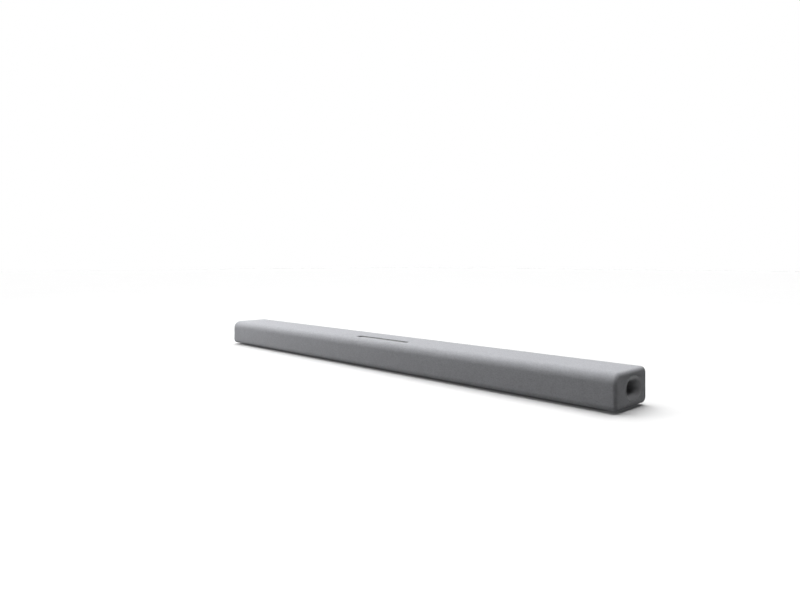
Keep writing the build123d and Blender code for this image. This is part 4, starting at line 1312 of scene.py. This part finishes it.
@dataclass(frozen=True)
class Lamp:
    """Soft light.

    Attributes:
        name: what it is.
        kind: wide dome of light from afar, or a square panel near by.
        place: where it hangs, in metres.
        aim: the point that it faces.
        size: width of the dome in degrees, or side of the panel in metres.
        power: in watts, or in watts per square metre for a dome.
    """

    name: str
    kind: LampKind
    place: Point
    aim: Point
    size: float
    power: float

    def build(self) -> None:
        """Hang the light."""
        light = bpy.data.lights.new(self.name, self.kind.value)
        light.energy = self.power
        if self.kind is LampKind.DOME:
            light.angle = math.radians(self.size)
        else:
            light.size = self.size
        obj = placed(light, self.name)
        obj.location = self.place
        toward = Vector(self.aim) - Vector(self.place)
        obj.rotation_euler = toward.to_track_quat("-Z", "Y").to_euler()


@dataclass
class Studio:
    """Pale floor, white surround, soft lights and the camera."""

    floor: float = 14.0
    floor_tones: tuple[Rgb, Rgb] = ((0.94, 0.94, 0.94), (0.97, 0.97, 0.97))
    floor_cloud: float = 3.0
    floor_rough: float = 0.8
    floor_gloss: float = 0.1
    ambient: float = 0.02
    bounce: float = 0.15
    eye: Point = (0.9623, -0.892, 0.2217)
    turn: float = 0.7987
    lens: float = 28.02
    shift: float = -0.0491
    nearest: float = 0.01
    lamps: tuple[Lamp, ...] = (
        Lamp("overhead", LampKind.DOME, (-0.6, 0.5, 2.2), (0.0, 0.0, 0.0), 74.0, 3.5),
        Lamp("front_left", LampKind.PANEL, (-1.1, -1.0, 0.65), (-0.5, 0.0, 0.03), 0.8, 8.5),
    )

    def surround(self) -> None:
        """White all round to the eye; to the object, dim above and lit by the floor from below."""
        world = bpy.data.worlds.new("surround")
        bpy.context.scene.world = world
        world.use_nodes = True
        graph = Graph(world.node_tree)
        back = world.node_tree.nodes["Background"]
        seen = graph.add("LightPath").outputs["Is Camera Ray"]
        rise = graph.split(graph.add("TexCoord").outputs["Generated"])[2]
        below = graph.math("LESS_THAN", rise, 0.0)
        dim = graph.blend(below, self.ambient, self.bounce)
        graph.fill(back, {"Color": (1.0, 1.0, 1.0), "Strength": graph.blend(seen, dim, 1.0)})

    def ground(self) -> None:
        """Pale floor that reaches far past the object."""
        bm = bmesh.new()
        bmesh.ops.create_grid(bm, x_segments=8, y_segments=8, size=self.floor)
        floor = placed(to_mesh(bm), "floor")
        material = bpy.data.materials.new("pale_floor")
        material.use_nodes = True
        shader = material.node_tree.nodes["Principled BSDF"]
        graph = Graph(material.node_tree)
        cloud = graph.noise(graph.place(), self.floor_cloud)
        tone = graph.tint(cloud, *self.floor_tones)
        graph.fill(shader, {"Base Color": tone, "Roughness": self.floor_rough})
        graph.fill(shader, {"Specular IOR Level": self.floor_gloss})
        floor.data.materials.append(material)
        floor.visible_diffuse = False
        floor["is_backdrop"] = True

    def camera(self) -> None:
        """Level camera at the right of the front, a little above the bar."""
        camera = bpy.data.cameras.new("camera")
        camera.lens = self.lens
        camera.shift_y = self.shift
        camera.clip_start = self.nearest
        obj = placed(camera, "camera")
        obj.location = self.eye
        obj.rotation_euler = (math.pi / 2, 0.0, self.turn)
        bpy.context.scene.camera = obj

    def build(self) -> None:
        """Set the whole studio up."""
        bpy.context.scene.view_settings.view_transform = "Standard"
        self.surround()
        self.ground()
        for lamp in self.lamps:
            lamp.build()
        self.camera()


def corners() -> list[list[float]]:
    """The shown object's box as plain lists."""
    return [[float(part) for part in corner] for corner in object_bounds()]


def main() -> None:
    """Dress the bar and set the studio."""
    logging.basicConfig(level=logging.INFO, format="%(name)s: %(message)s")
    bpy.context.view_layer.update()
    for assembly in (ClothWrap(), ControlStrip(), RearHousing(), Underside(), Acoustics(), Electronics()):
        assembly.dress()
        assembly.build()
    Studio().build()


if __name__ == "__main__":
    main()
